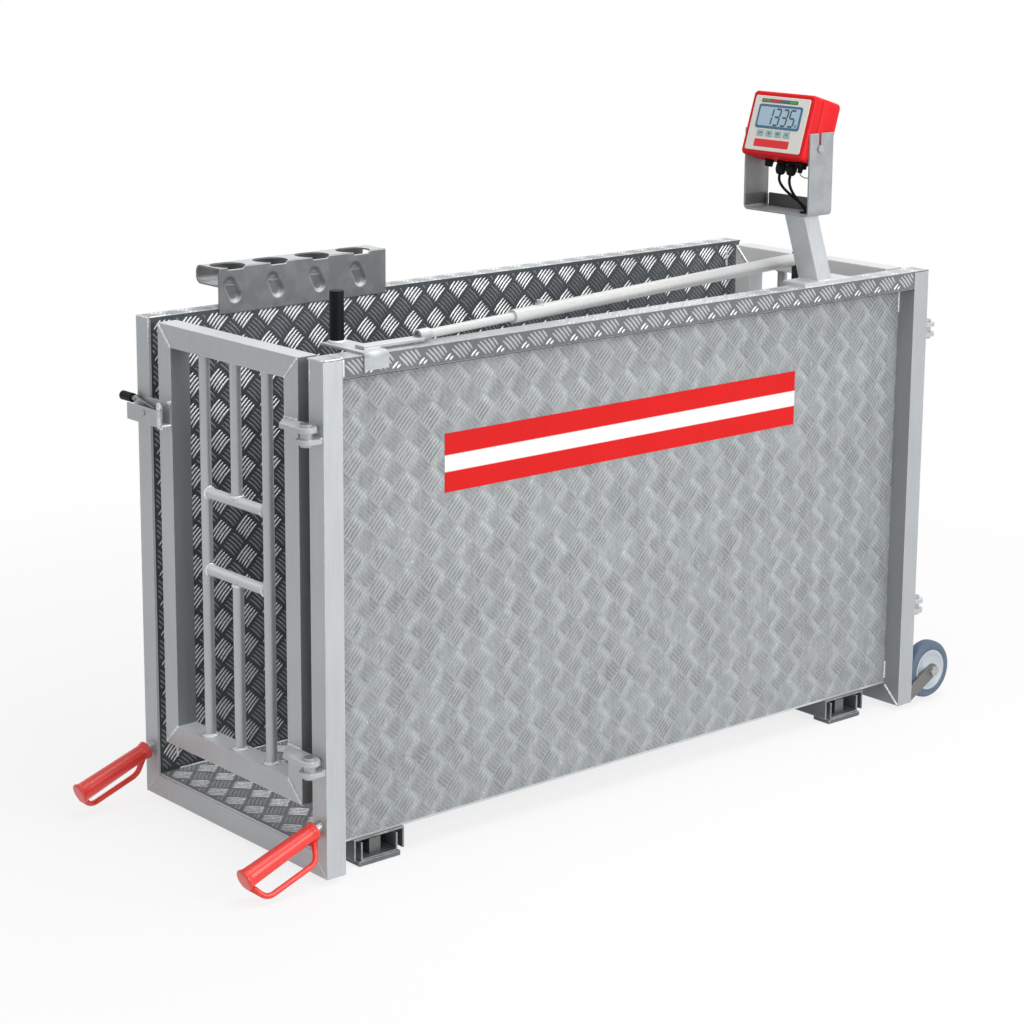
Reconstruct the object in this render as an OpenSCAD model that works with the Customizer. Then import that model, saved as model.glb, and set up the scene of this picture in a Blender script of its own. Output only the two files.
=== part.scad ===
// Weighing crate for single animals: a walk-through box of tread plate between two
// tube end frames, with a hinged gate at each end, standing on load cells.
// Sizes are in millimetres. X runs from the handle end to the wheel end, Z is up.

/* [Crate] */
// Length over the two end frames
crate_l = 1500; // [1300:10:2000]
// Width over the corner posts
crate_w = 560; // [520:5:760]
// Height of the top edge above the ground
crate_h = 911; // [860:1:1100]
// Gap between the corner posts and the ground
ground_gap = 11; // [9:0.5:14]
// Side of the square frame tube
tube = 40; // [38:1:44]
// Wall of the square frame tube
tube_t = 3; // [2:0.5:5]
// Thickness of the side wall sheet
wall_t = 3; // [2:0.5:4]
// Thickness of the floor sheet
floor_t = 4; // [3:0.5:6]
// Height of the lip folded down from the top flange
lip_h = 32; // [20:1:60]
// Inset of the side sheets from the outer faces of the end frames
wall_inset = 3; // [1:0.5:8]
// Fitting gap between welded sheet edges and the tube beside them
sheet_gap = 1; // [0.3:0.1:2]

/* [Gates] */
// Gap between a gate and the side walls
gate_gap = 27; // [22:1:40]
// Gap between a gate and the frame's bottom rail
gate_lift = 74; // [60:1:120]
// Drop of a gate's top below the crate's top edge
gate_drop = 4; // [3:0.5:10]
// Diameter of the gate bars
bar_d = 20; // [14:1:26]
// Distance between neighbouring upright bars
bar_pitch = 94; // [60:1:110]
// Height of the lower cross bar above the ground
window_low = 476; // [400:5:520]
// Height of the upper cross bar above the ground
window_high = 617; // [570:5:680]
// Diameter of the hinge pins
pin_d = 14; // [10:1:16]
// Distance of a hinge pin from the frame's outer face
hinge_out = 20; // [20:0.5:24]
// Height of the lower hinge straps above the ground
hinge_low = 218; // [190:2:300]
// Height of the upper hinge straps above the ground
hinge_high = 793; // [700:1:810]
// Thickness of the hinge straps and post plates
strap_t = 8; // [5:0.5:10]
// Width of the hinge straps
strap_w = 37; // [34:0.5:38]
// Clear height between a strap and its post plate
hinge_space = 12; // [6:1:20]
// Running clearance on the radius of pins and axles
run_gap = 0.05; // [0.02:0.01:0.1]
// Clearance between parts that slide past each other
slide_gap = 0.3; // [0.2:0.1:1]

/* [Latch] */
// Height of the latch stud above the ground
latch_z = 744; // [700:2:770]
// Depth of the latch bracket in front of the posts
latch_depth = 26; // [24:1:34]
// Thickness of the latch bracket's sheet
latch_t = 3; // [2:0.5:4]
// Height of the latch bracket's front plate
latch_h = 30; // [26:1:44]
// Diameter of the latch stud's head
stud_head_d = 16; // [14:0.5:18]
// Diameter of the latch stud's neck
stud_neck_d = 8; // [6:0.5:9]
// Thickness of the latch tongue
tongue_t = 4; // [3:0.5:5]
// Length of the latch lever's black grip
latch_grip_l = 34; // [25:1:60]
// Diameter of the latch lever's black grip
latch_grip_d = 17; // [14:0.5:22]

/* [Slide] */
// Distance of the slide from the near face
slide_x = 83; // [60:1:160]
// Length of the slide along the flange
slide_l = 51; // [40:1:80]
// Reach of the slide inwards from the outer face
slide_reach = 118; // [100:1:130]
// Thickness of the slide's plate
slide_t = 4; // [3:0.5:6]
// Depth of the slide's outer lip
slide_lip = 26; // [15:1:40]
// Diameter of the slide's black grip
slide_grip_d = 25; // [20:0.5:30]
// Height of the slide's black grip
slide_grip_h = 88; // [60:1:130]
// Length of the flat bar that carries the push rod
slide_bar_l = 116; // [90:1:160]
// Width of the flat bar that carries the push rod
slide_bar_w = 25; // [20:1:32]
// Diameter of the push rod
rod_d = 16; // [12:0.5:18]
// Outer diameter of the push rod's tube
rod_tube_d = 25; // [23:0.5:28]
// Distance from the near face to the start of the push rod's tube
rod_tube_x = 455; // [450:5:800]
// Distance from the start of the push rod's tube to its clamp bolt
clamp_set = 72; // [20:1:100]
// Distance from the tube's end to the far face
rod_end_x = 235; // [225:1:250]
// Height of the push rod's axis above the top edge, at the far gate
rod_rise = 25; // [22:0.5:40]
// How much lower the push rod's axis is at the slide
rod_drop = 12.5; // [6:0.5:13]
// Distance of the push rod's near end from the outer face of the wall
rod_near_y = 30; // [26:1:40]
// Arm from the hinge to the push rod's pin, each way, with the gate shut
crank_arm = 130; // [120:1:140]
// Diameter of the push rod's pin
crank_pin_d = 14; // [10:1:18]

/* [Weighing gear] */
// Distance of the near load cells from the near face
near_foot_x = 140; // [110:5:300]
// Distance of the far load cells from the far face
far_foot_x = 165; // [110:5:300]
// Width of the cross channels under the floor
cross_w = 110; // [104:1:140]
// Width of the base channels on the feet
base_w = 80; // [72:1:90]
// Thickness of the channels' sheet
channel_t = 3; // [2:0.5:3.5]
// Depth of the cross channels
cross_h = 39; // [30:0.5:39]
// Height of the base channels
base_h = 34; // [28:0.5:35]
// Distance of the channels' ends from the crate's outer faces
channel_inset = 35; // [30:1:50]
// Length of a foot plate
foot_l = 42; // [30:1:80]
// Width of a foot plate
foot_w = 90; // [80:1:100]
// Thickness of a foot plate
foot_t = 9; // [6:0.5:9]
// Length of a load cell
cell_l = 130; // [110:1:150]
// Side of a load cell's square section
cell_s = 25; // [20:1:25]
// Diameter of a load cell's bolts
cell_bolt_d = 10; // [8:0.5:12]
// Clearance on the radius of bolts in their holes
bolt_gap = 0.4; // [0.3:0.1:1]
// Length of the junction box
box_l = 110; // [80:1:160]
// Width of the junction box
box_w = 70; // [60:1:120]
// Height of the junction box
box_h = 30; // [24:1:36]
// Diameter of the cables
cable_d = 7; // [5:0.5:8]
// Diameter of the indicator's leads
lead_d = 5; // [4:0.2:5.4]
// Diameter of the holes that the cables pass through
cable_hole_d = 12; // [10:0.5:14]

/* [Wheels and handles] */
// Diameter of the wheels
wheel_d = 120; // [100:1:130]
// Width of the wheels
wheel_w = 30; // [24:1:34]
// Diameter of a wheel's hub
hub_d = 84; // [60:1:90]
// Diameter of the wheel axles
axle_d = 12; // [10:0.5:14]
// Distance of the axles behind the far face
axle_out = 68; // [67:1:90]
// Gap between the wheels and the ground
wheel_gap = 5; // [3:0.5:15]
// Width of the flat bars that carry the axles
wheel_bar_w = 28; // [22:1:30]
// Thickness of the flat bars that carry the axles
wheel_bar_t = 5; // [4:0.5:6]
// Diameter of the stubs inside the handles
stub_d = 20; // [16:0.5:22]
// Diameter of the handle grips at the post
grip_d = 29; // [27:0.5:31]
// Diameter of the handle grips at their outer ends
grip_tip_d = 34; // [31.5:0.5:36]
// Diameter of the rims at the outer ends of the handle grips
grip_rim_d = 39; // [37:0.5:42]
// Length of the handle grips
grip_l = 158; // [130:1:165]
// Slope of the handles below the level
grip_slope = 20; // [16:0.5:21]
// Height of the handles' roots above the ground
grip_z = 103; // [100:0.5:110]
// Diameter of the knuckle guards
guard_d = 10; // [8:0.5:12]
// Distance of a knuckle guard from its grip's axis
guard_out = 48; // [40:0.5:50]
// Outward tilt of the knuckle guards
guard_tilt = 22; // [12:1:28]

/* [Rack] */
// Distance of the marker rack from the near face
rack_x = 150; // [100:5:400]
// Distance between the rack's pockets
rack_pitch = 96; // [88:1:110]
// Height of the rack above the top edge
rack_rise = 74; // [60:1:90]
// Depth of the rack
rack_d = 74; // [66:1:80]
// Diameter of the rack's pockets
rack_hole_d = 66; // [60:0.5:70]
// Width of the pressed dents in the rack's front
rack_dent_w = 28; // [16:1:30]
// Distance between the centres of a dent's rounded ends
rack_dent_l = 24; // [10:1:26]
// Depth of the pressed dents in the rack's front
rack_dent_t = 1.5; // [0.5:0.1:1.5]
// Slant of the pressed dents in the rack's front
rack_slant = 27; // [10:1:30]
// Thickness of the rack's sheet
rack_t = 3; // [2:0.5:3]
// Height of the rack's back
rack_back_h = 35; // [30:1:45]
// Depth of the shelf under the pockets
rack_shelf = 58; // [45:1:62]

/* [Indicator] */
// Distance of the mast's base plate from the near face
mast_x = 1143; // [700:5:1150]
// Length of the mast's base plate
mast_plate_l = 135; // [110:1:140]
// Width of the mast's base plate
mast_plate_w = 58; // [54:1:62]
// Thickness of the mast's base plate
mast_plate_t = 8; // [5:0.5:10]
// Distance from the base plate's end to the mast
mast_set = 40; // [20:1:60]
// Width of the mast along the crate
mast_dx = 38; // [32:1:44]
// Width of the mast across the crate
mast_dy = 50; // [40:1:50]
// Height of the mast
mast_h = 130; // [100:1:200]
// Lean of the mast towards the handle end
mast_lean = 19; // [5:0.5:20]
// Outer width of the U bracket
bracket_w = 168; // [150:1:190]
// Depth of the U bracket
bracket_d = 63; // [50:1:64]
// Height of the U bracket
bracket_h = 157; // [150:1:170]
// Thickness of the U bracket's sheet
bracket_t = 4; // [3:0.5:5]
// Overhang of the U bracket past the crate's outer face
bracket_out = 18; // [10:1:24]
// Height of the bracket's back edge, folded up
bracket_back_h = 28; // [12:1:36]
// Height of the indicator's housing
case_h = 124; // [110:1:130]
// Depth of the indicator's housing
case_d = 75; // [66:1:80]
// Backward tilt of the indicator
case_tilt = 17; // [5:0.5:25]
// Height of the tilt screws below the tops of the bracket's arms
tilt_drop = 29; // [26:0.5:34]
// Height of the housing's middle above the tilt screws
case_rise = 31; // [24:0.5:34]
// Wall of the indicator's housing
case_t = 4; // [3:0.5:5]
// Diameter of the cable glands' bodies
gland_d = 20; // [16:0.5:22]
// Diameter of the tilt screws
tilt_screw_d = 6; // [5:0.5:8]
// Width of the indicator's display
display_w = 112; // [70:1:130]
// Height of the indicator's display
display_h = 46; // [24:1:48]
// Width of the indicator's keys
key_w = 18; // [12:0.5:20]
// Distance between the indicator's keys
key_pitch = 22.3; // [20.8:0.1:25]
// Travel of the indicator's keys
key_travel = 0.8; // [0.5:0.1:1.2]

/* [Banner] */
// Distance of the banner from the near face
banner_x = 290; // [200:5:350]
// Length of the banner
banner_l = 875; // [400:5:900]
// Height of the banner's lower edge above the ground
banner_z = 637; // [400:1:700]
// Height of the banner
banner_h = 105; // [60:1:160]
// Thickness of the banner
banner_t = 0.6; // [0.4:0.1:1]

/* [Hidden] */
$fn = 48;
e = 1;
mill = [0.72, 0.74, 0.75];
steel = [0.58, 0.60, 0.61];
black = [0.06, 0.06, 0.07];
red = [0.90, 0.10, 0.08];

tube_in = tube - 2 * tube_t;
rail_top = ground_gap + tube;
floor_top = rail_top + floor_t;
flange_z = crate_h - wall_t;
flange_w = tube + wall_t;
post_h = flange_z - ground_gap;
inner_low = tube + wall_t;
inner_high = crate_w - inner_low;

gate_low = inner_low + gate_gap;
gate_high = inner_high - gate_gap;
gate_z = rail_top + gate_lift;
gate_top = crate_h - gate_drop;
hinge_y = tube / 2;
strap_r = strap_w / 2 - 0.5;
pin_head_d = pin_d + 8;
pin_head_h = 5;

foot_xs = [near_foot_x, crate_l - far_foot_x];
cross_z = rail_top - channel_t;
base_z = foot_t;
cell_lift = 3;
cell_z = base_z + channel_t + cell_lift;
cell_end = 18;
cell_out = channel_inset + foot_l / 2 - 8;
cell_ys = [cell_out, crate_w - cell_out - cell_l];
fixed_ys = [cell_out + cell_end, crate_w - cell_out - cell_end];
loaded_ys = [cell_out + cell_l - cell_end, crate_w - cell_out - cell_l + cell_end];
bolt_head_h = 4;
bolt_head_d = cell_bolt_d + 6;
box_x = (crate_l - box_l) / 2;
box_y = (crate_w - box_w) / 2;
box_z = rail_top - box_h;
cable_z = cell_z + cell_s * 0.6;
cable_y = crate_w / 2;
cable_step = cable_hole_d + 6;
signal_y = cable_y;
signal_top = flange_z - cable_hole_d;

axle_x = crate_l + axle_out;
axle_z = wheel_d / 2 + wheel_gap;
wheel_bar_y = 2;
wheel_side_gap = 1.5;
wheel_y = wheel_bar_y + wheel_bar_t + wheel_side_gap;
wheel_bar_rise = atan2(axle_z - rail_top / 2 - 2, axle_out);

grip_root = 12;
stub_l = grip_root + grip_l - 12;

rack_l = 4 * rack_pitch;
rack_lap = 11;
rack_y = inner_high - rack_t;
rack_top = crate_h + rack_rise;
rack_dent_top = 17 + rack_dent_w / 2;

mast_y = (mast_plate_w - mast_dy) / 2;
mast_z = crate_h + mast_plate_t;
mast_top = mast_z + mast_h;
mast_shift = mast_h * tan(mast_lean);
bracket_x = mast_x + mast_set + mast_dx / 2 - mast_shift - bracket_d / 2;
tilt_x = bracket_x + bracket_d * 0.42;
tilt_z = mast_top + bracket_h - tilt_drop;
case_gap = 0.5;
case_w = bracket_w - 2 * (bracket_t + case_gap);
case_y = -bracket_out + bracket_t + case_gap;
case_front = 24;
panel_t = 1;
panel_in = 9;
key_h = 12;
key_mid = case_w / 2 + 4;
key_top = -12.5;
key_low = key_top - key_h;
gland_x = 4;
gland_ys = [case_w * 0.36, case_w * 0.53];
gland_h = 26;
grommet_y = -bracket_out + bracket_t + 24;
grommet_x = tilt_x;
lead_low = mast_top;

latch_y = crate_w - tube / 2;
latch_pivot_y = gate_high + 12;
latch_back = 1;
latch_end = crate_w - 4;
latch_pin_d = 6;
tongue_x = -latch_back - latch_t - 3.5 - tongue_t;
lever_d = 9;
latch_reach = crate_w;
slot_half = crank_pin_d / 2 + crank_arm * 0.079 + 0.7;
slot_margin = 12;
slot_t = 6;
slot_z = gate_top - tube + 6;
link_t = 6;
link_z = slot_z + slot_t + 4;
link_w = 24;
rod_z = crate_h + rod_rise;
far_hinge_x = crate_l + hinge_out;
crank_x = far_hinge_x - crank_arm;
crank_y = hinge_y + crank_arm;
rod_x0 = slide_x + slide_l + slide_bar_l - 16;
rod_y0 = rod_near_y;
rod_z0 = rod_z - rod_drop;
rod_x1 = crate_l - rod_end_x;
rod_angle = atan2(crank_y - rod_y0, rod_x1 + 30 - rod_x0);
rod_slope = atan2(rod_drop * cos(rod_angle), rod_x1 - rod_x0);
rod_shrink = cos(rod_angle) * cos(rod_slope);
rod_run = (rod_x1 - rod_x0) / rod_shrink;
tube_start = (rod_tube_x - rod_x0) / rod_shrink;
socket_w = 22;
cap_l = 14;

reach_x0 = -(grip_root + grip_l) * cos(grip_slope) - grip_rim_d / 2 * sin(grip_slope);
reach_x1 = axle_x + wheel_d / 2;
reach_y0 = -bracket_out - 4;
reach_y1 = crate_w + latch_grip_l;
mid_x = (reach_x0 + reach_x1) / 2;
mid_y = (reach_y0 + reach_y1) / 2;

// Moves a piece from the working frame, whose zero is the near right corner, to the row frame
module placed() { translate([-mid_x, -mid_y, 0]) children(); }

// Mirrors a piece of the right side to the left side
module to_left() { translate([0, crate_w, 0]) mirror([0, 1, 0]) children(); }

// Mirrors a piece of the near end to the far end
module to_far() { translate([crate_l, 0, 0]) mirror([1, 0, 0]) children(); }

module rod_along_x(d, l) { rotate([0, 90, 0]) cylinder(d = d, h = l); }

module rod_along_y(d, l) { rotate([-90, 0, 0]) cylinder(d = d, h = l); }

// Round rod from one point to another
module strut(a, b, d) {
    v = b - a;
    translate(a)
        rotate([0, atan2(norm([v[0], v[1]]), v[2]), atan2(v[1], v[0])])
            cylinder(d = d, h = norm(v), $fn = 24);
}

// Round rod along a list of points, with a slightly thicker ball at each bend
module rod_path(pts, d) {
    for (i = [0 : len(pts) - 2]) strut(pts[i], pts[i + 1], d);
    if (len(pts) > 2) for (i = [1 : len(pts) - 2]) translate(pts[i]) sphere(d = d * 1.04, $fn = 24);
}

// End frame: two posts and a bottom rail of one hollow section, mitred at the corners
module end_frame() {
    difference() {
        translate([0, 0, ground_gap]) cube([tube, crate_w, post_h]);
        translate([-e, tube, rail_top]) cube([tube + 2 * e, crate_w - 2 * tube, post_h]);
        for (y = [tube_t, crate_w - tube + tube_t])
            translate([tube_t, y, ground_gap + tube_t]) cube([tube_in, tube_in, post_h]);
        translate([tube_t, tube_t, ground_gap + tube_t])
            cube([tube_in, crate_w - 2 * tube_t, tube_in]);
    }
}

module near_end_frame() { placed() color(mill) end_frame(); }

module far_end_frame() {
    placed() color(mill) difference() {
        to_far() end_frame();
        for (p = [[signal_y, cable_z], [tube / 2, signal_top]])
            translate([crate_l - tube - e, p[0], p[1]])
                rod_along_x(cable_hole_d, tube_t + 2 * e);
    }
}

// Side wall: an upright sheet whose top is folded outwards over the posts and down again
module side_wall() {
    translate([wall_inset, tube, floor_top])
        cube([crate_l - 2 * wall_inset, wall_t, flange_z - floor_top]);
    translate([0, 0, flange_z]) cube([crate_l, flange_w, wall_t]);
    translate([tube + sheet_gap, 0, flange_z - lip_h])
        cube([crate_l - 2 * (tube + sheet_gap), wall_t, lip_h]);
}

module right_side_wall() {
    placed() color(mill) difference() {
        side_wall();
        translate([mast_x + mast_set + mast_dx / 2, tube / 2, flange_z - e])
            cylinder(d = cable_hole_d, h = wall_t + 2 * e);
    }
}

module left_side_wall() { placed() color(mill) to_left() side_wall(); }

module floor_plate() {
    placed() color([0.55, 0.56, 0.57])
        translate([wall_inset, tube, rail_top])
            cube([crate_l - 2 * wall_inset, crate_w - 2 * tube, floor_t]);
}

// Holes in a channel's walls, for the load cells' cables and the signal cable
module cable_holes(x, w) {
    for (y = [cable_y - cable_step, cable_y + cable_step, signal_y])
        translate([x - w / 2 - e, y, cable_z]) rod_along_x(cable_hole_d, w + 2 * e);
}

module cross_channels() {
    placed() color(steel) for (x = foot_xs) difference() {
        translate([x - cross_w / 2, channel_inset, rail_top - cross_h])
            cube([cross_w, crate_w - 2 * channel_inset, cross_h]);
        translate([x - cross_w / 2 + channel_t, channel_inset - e, rail_top - cross_h - e])
            cube([cross_w - 2 * channel_t, crate_w - 2 * channel_inset + 2 * e,
                cross_h - channel_t + e]);
        cable_holes(x, cross_w);
        for (y = loaded_ys) translate([x, y, cross_z - e])
            cylinder(d = cell_bolt_d + 2 * bolt_gap, h = channel_t + 2 * e);
    }
}

module base_channels() {
    placed() color(steel) for (x = foot_xs) difference() {
        translate([x - base_w / 2, channel_inset, base_z])
            cube([base_w, crate_w - 2 * channel_inset, base_h]);
        translate([x - base_w / 2 + channel_t, channel_inset - e, base_z + channel_t])
            cube([base_w - 2 * channel_t, crate_w - 2 * channel_inset + 2 * e, base_h]);
        cable_holes(x, base_w);
        for (y = fixed_ys) translate([x, y, base_z - e])
            cylinder(d = cell_bolt_d + 2 * bolt_gap, h = channel_t + 2 * e);
    }
}

// Load cell: a square beam held down at its outer end and loaded at its inner end
module load_cell(inner_end) {
    pad = 2 * cell_end - 2;
    low_y = inner_end ? 0 : cell_l - pad;
    high_y = inner_end ? cell_l - pad : 0;
    fixed = inner_end ? cell_end : cell_l - cell_end;
    loaded = inner_end ? cell_l - cell_end : cell_end;
    difference() {
        union() {
            translate([-cell_s / 2, 0, cell_z]) cube([cell_s, cell_l, cell_s]);
            translate([-cell_s / 2, low_y, cell_z - cell_lift]) cube([cell_s, pad, cell_lift]);
            translate([-cell_s / 2, high_y, cell_z + cell_s])
                cube([cell_s, pad, cross_z - cell_z - cell_s]);
        }
        for (s = [-1, 1]) translate([-cell_s / 2 - e, cell_l / 2 + s * 9, cell_z + cell_s / 2])
            rod_along_x(cell_s * 0.5, cell_s + 2 * e);
        translate([0, fixed, 0]) cylinder(d = cell_bolt_d + 2 * bolt_gap, h = crate_h);
        translate([0, loaded, 0]) cylinder(d = cell_bolt_d + 2 * bolt_gap, h = crate_h);
        translate([0, loaded, 0]) cylinder(d = bolt_head_d + 2 * bolt_gap,
            h = cell_z + bolt_head_h + bolt_gap);
    }
}

module load_cells() {
    placed() color([0.7, 0.7, 0.72]) for (x = foot_xs, i = [0, 1])
        translate([x, cell_ys[i], 0]) load_cell(i == 0);
}

module load_cell_bolts() {
    placed() color([0.4, 0.4, 0.42]) for (x = foot_xs, i = [0, 1]) {
        translate([x, fixed_ys[i], base_z]) cylinder(d = cell_bolt_d, h = cell_z + cell_s - base_z);
        translate([x, fixed_ys[i], cell_z + cell_s]) cylinder(d = bolt_head_d, h = bolt_head_h);
        translate([x, loaded_ys[i], cell_z + bolt_gap]) cylinder(d = cell_bolt_d,
            h = rail_top - cell_z - bolt_gap);
        translate([x, loaded_ys[i], cell_z + bolt_gap]) cylinder(d = bolt_head_d, h = bolt_head_h);
    }
}

module foot_plates() {
    placed() color(steel) for (x = foot_xs, y = [channel_inset - 2,
        crate_w - channel_inset + 2 - foot_l])
        translate([x - foot_w / 2, y, 0]) cube([foot_w, foot_l, foot_t]);
}

module junction_box() {
    placed() color([0.45, 0.47, 0.5]) difference() {
        translate([box_x, box_y, box_z]) cube([box_l, box_w, box_h]);
        translate([box_x + 3, box_y + 3, box_z + 3]) cube([box_l - 6, box_w - 6, box_h - 7]);
    }
}

// One load cell's cable, from the cell's inner end to the junction box
module cell_cable(x, i) {
    y0 = i == 0 ? cell_ys[0] + cell_l : cell_ys[1];
    y1 = cable_y + (i == 0 ? -1 : 1) * cable_step;
    face = x < crate_l / 2 ? box_x : box_x + box_l;
    rod_path([[x, y0, cable_z], [x, y1, cable_z], [face, y1, cable_z]], cable_d);
}

module load_cell_cables() {
    placed() color(black) for (x = foot_xs, i = [0, 1]) cell_cable(x, i);
}

// Signal cable: from the junction box through the far frame, under the flange and up the mast
module signal_cable() {
    x1 = crate_l - tube / 2;
    xm = mast_x + mast_set + mast_dx / 2;
    placed() color(black) rod_path([[box_x + box_l, signal_y, cable_z],
        [x1, signal_y, cable_z], [x1, tube / 2, cable_z], [x1, tube / 2, signal_top],
        [xm, tube / 2, signal_top], [xm, tube / 2, mast_z + 6],
        [grommet_x, tube / 2, mast_top - 6]], cable_d);
}

// Flat bars that carry one wheel, welded to the far frame
module wheel_bracket() {
    for (y = [wheel_bar_y, wheel_y + wheel_w + wheel_side_gap]) difference() {
        translate([axle_x, y, axle_z]) rotate([-90, 0, 0]) rotate([0, 0, -wheel_bar_rise]) {
            cylinder(d = wheel_bar_w, h = wheel_bar_t);
            translate([-axle_out * 2, -wheel_bar_w / 2, 0])
                cube([axle_out * 2, wheel_bar_w, wheel_bar_t]);
        }
        translate([crate_l - 3 * axle_out, y - e, -crate_h / 2])
            cube([3 * axle_out, wheel_bar_t + 2 * e, crate_h]);
        translate([crate_l - e, y - e, -crate_h]) cube([crate_h, wheel_bar_t + 2 * e,
            crate_h + ground_gap]);
        translate([axle_x, y - e, axle_z]) rod_along_y(axle_d + 2 * run_gap,
            wheel_bar_t + 2 * e);
    }
}

module wheel_brackets() {
    placed() color([0.45, 0.46, 0.47]) { wheel_bracket(); to_left() wheel_bracket(); }
}

module wheel_axle() {
    span = 2 * (wheel_bar_t + wheel_side_gap) + wheel_w;
    translate([axle_x, wheel_bar_y, axle_z]) rod_along_y(axle_d, span);
    translate([axle_x, wheel_bar_y - 7, axle_z])
        rotate([-90, 0, 0]) cylinder(d = axle_d * 1.9, h = 7, $fn = 6);
    translate([axle_x, wheel_bar_y + span, axle_z])
        rotate([-90, 0, 0]) cylinder(d = axle_d * 1.9, h = 7, $fn = 6);
}

module wheel_axles() {
    placed() color(steel) { wheel_axle(); to_left() wheel_axle(); }
}

module tyre() {
    translate([axle_x, wheel_y, axle_z]) rotate([-90, 0, 0]) rotate_extrude($fn = 96)
        translate([hub_d / 2, 0]) difference() {
            w = wheel_d / 2 - hub_d / 2;
            square([w, wheel_w]);
            translate([w, 0]) rotate(45) square(4, center = true);
            translate([w, wheel_w]) rotate(45) square(4, center = true);
        }
}

module hub() {
    web = 8;
    translate([axle_x, wheel_y, axle_z]) rotate([-90, 0, 0]) difference() {
        cylinder(d = hub_d, h = wheel_w, $fn = 96);
        for (z = [-e, (wheel_w + web) / 2]) translate([0, 0, z]) difference() {
            cylinder(d = hub_d - 12, h = (wheel_w - web) / 2 + e, $fn = 96);
            translate([0, 0, -e]) cylinder(d = axle_d + 18, h = wheel_w);
        }
        translate([0, 0, -e]) cylinder(d = axle_d + 2 * run_gap, h = wheel_w + 2 * e);
    }
}

module right_tyre() { placed() color([0.33, 0.38, 0.45]) tyre(); }
module right_hub() { placed() color([0.75, 0.77, 0.8]) hub(); }
module left_tyre() { placed() color([0.33, 0.38, 0.45]) to_left() tyre(); }
module left_hub() { placed() color([0.75, 0.77, 0.8]) to_left() hub(); }

// Puts a handle piece, drawn along +X from the post's face, on its sloping axis
module on_handle_axis() {
    translate([0, tube / 2, grip_z]) rotate([0, 180 - grip_slope, 0]) children();
}

module handle_stub() {
    difference() {
        on_handle_axis() translate([-tube, 0, 0]) rod_along_x(stub_d, tube + stub_l);
        translate([0, -tube, 0]) cube([3 * tube, 3 * tube, crate_h]);
    }
}

module handle_stubs() { placed() color(steel) { handle_stub(); to_left() handle_stub(); } }

// Handle grip, thicker towards its outer end, with a rim at each end and a knuckle guard
module d_grip() {
    turn = 10;
    bore = stub_d / 2 + slide_gap;
    deep = stub_l - grip_root;
    rim_t = 6;
    lean = guard_out * tan(grip_slope);
    near_rim = grip_d / 2 + 2.5;
    on_handle_axis() {
        translate([grip_root, 0, 0]) rotate([0, 90, 0]) rotate_extrude() polygon([[bore, 0],
            [near_rim, 0], [near_rim, rim_t], [grip_d / 2, rim_t + 2],
            [grip_tip_d / 2, grip_l - 1.5 * rim_t], [grip_rim_d / 2, grip_l - rim_t / 2],
            [grip_rim_d / 2, grip_l], [0, grip_l], [0, deep], [bore, deep]]);
        rotate([guard_tilt, 0, 0]) rod_path([[grip_root + turn, 0, grip_d / 2 - 2],
            [grip_root + turn + lean, 0, guard_out], [grip_root + grip_l - 5 - lean, 0, guard_out],
            [grip_root + grip_l - 5, 0, grip_rim_d / 2 - 4]], guard_d);
    }
}

module right_grip() { placed() color(red) d_grip(); }
module left_grip() { placed() color(red) to_left() d_grip(); }

// Plates welded to the posts, which carry the hinge pins
module post_plate(z) {
    translate([-hinge_out, hinge_y, z - hinge_space - strap_t]) difference() {
        union() {
            cylinder(r = strap_r, h = strap_t);
            translate([0, -strap_r, 0]) cube([hinge_out, 2 * strap_r, strap_t]);
        }
        translate([0, 0, -e]) cylinder(d = pin_d + 2 * run_gap, h = strap_t + 2 * e);
    }
}

module hinge_post_plates() {
    placed() color(mill) for (z = [hinge_low, hinge_high]) {
        post_plate(z);
        to_far() post_plate(z);
    }
}

// Hinge pin with a head below the post plate, a collar under the strap and a head on top
module hinge_pin(z) {
    low = z - hinge_space - strap_t;
    translate([-hinge_out, hinge_y, low - pin_head_h]) {
        cylinder(d = pin_head_d, h = pin_head_h);
        cylinder(d = pin_d, h = pin_head_h + 2 * strap_t + hinge_space + slide_gap);
        translate([0, 0, pin_head_h + strap_t])
            cylinder(d = pin_head_d, h = hinge_space - slide_gap);
        translate([0, 0, pin_head_h + 2 * strap_t + hinge_space + slide_gap])
            cylinder(d = pin_head_d, h = pin_head_h);
    }
}

module hinge_pins() {
    placed() color(steel) for (z = [hinge_low, hinge_high]) {
        hinge_pin(z);
        to_far() hinge_pin(z);
    }
}

// Gate: a frame of square tube with hollow members
module gate_frame() {
    w = gate_high - gate_low;
    h = gate_top - gate_z;
    translate([0, gate_low, gate_z]) difference() {
        cube([tube, w, h]);
        translate([-e, tube, tube]) cube([tube + 2 * e, w - 2 * tube, h - 2 * tube]);
        for (y = [tube_t, w - tube + tube_t])
            translate([tube_t, y, tube_t]) cube([tube_in, tube_in, h - 2 * tube_t]);
        for (z = [tube_t, h - tube + tube_t])
            translate([tube_t, tube_t, z]) cube([tube_in, w - 2 * tube_t, tube_in]);
    }
}

// Bars of a gate: three uprights and two cross bars round a hand window
module gate_bars() {
    low = gate_z + tube;
    high = gate_top - tube;
    r = bar_d / 2;
    translate([tube / 2, crate_w / 2, 0]) {
        for (s = [-1, 1]) translate([0, s * bar_pitch, low]) cylinder(d = bar_d, h = high - low);
        translate([0, 0, low]) cylinder(d = bar_d, h = window_low - low);
        translate([0, 0, window_high]) cylinder(d = bar_d, h = high - window_high);
        for (z = [window_low, window_high])
            translate([0, -bar_pitch, z]) rod_along_y(bar_d, 2 * bar_pitch);
    }
}

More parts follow.
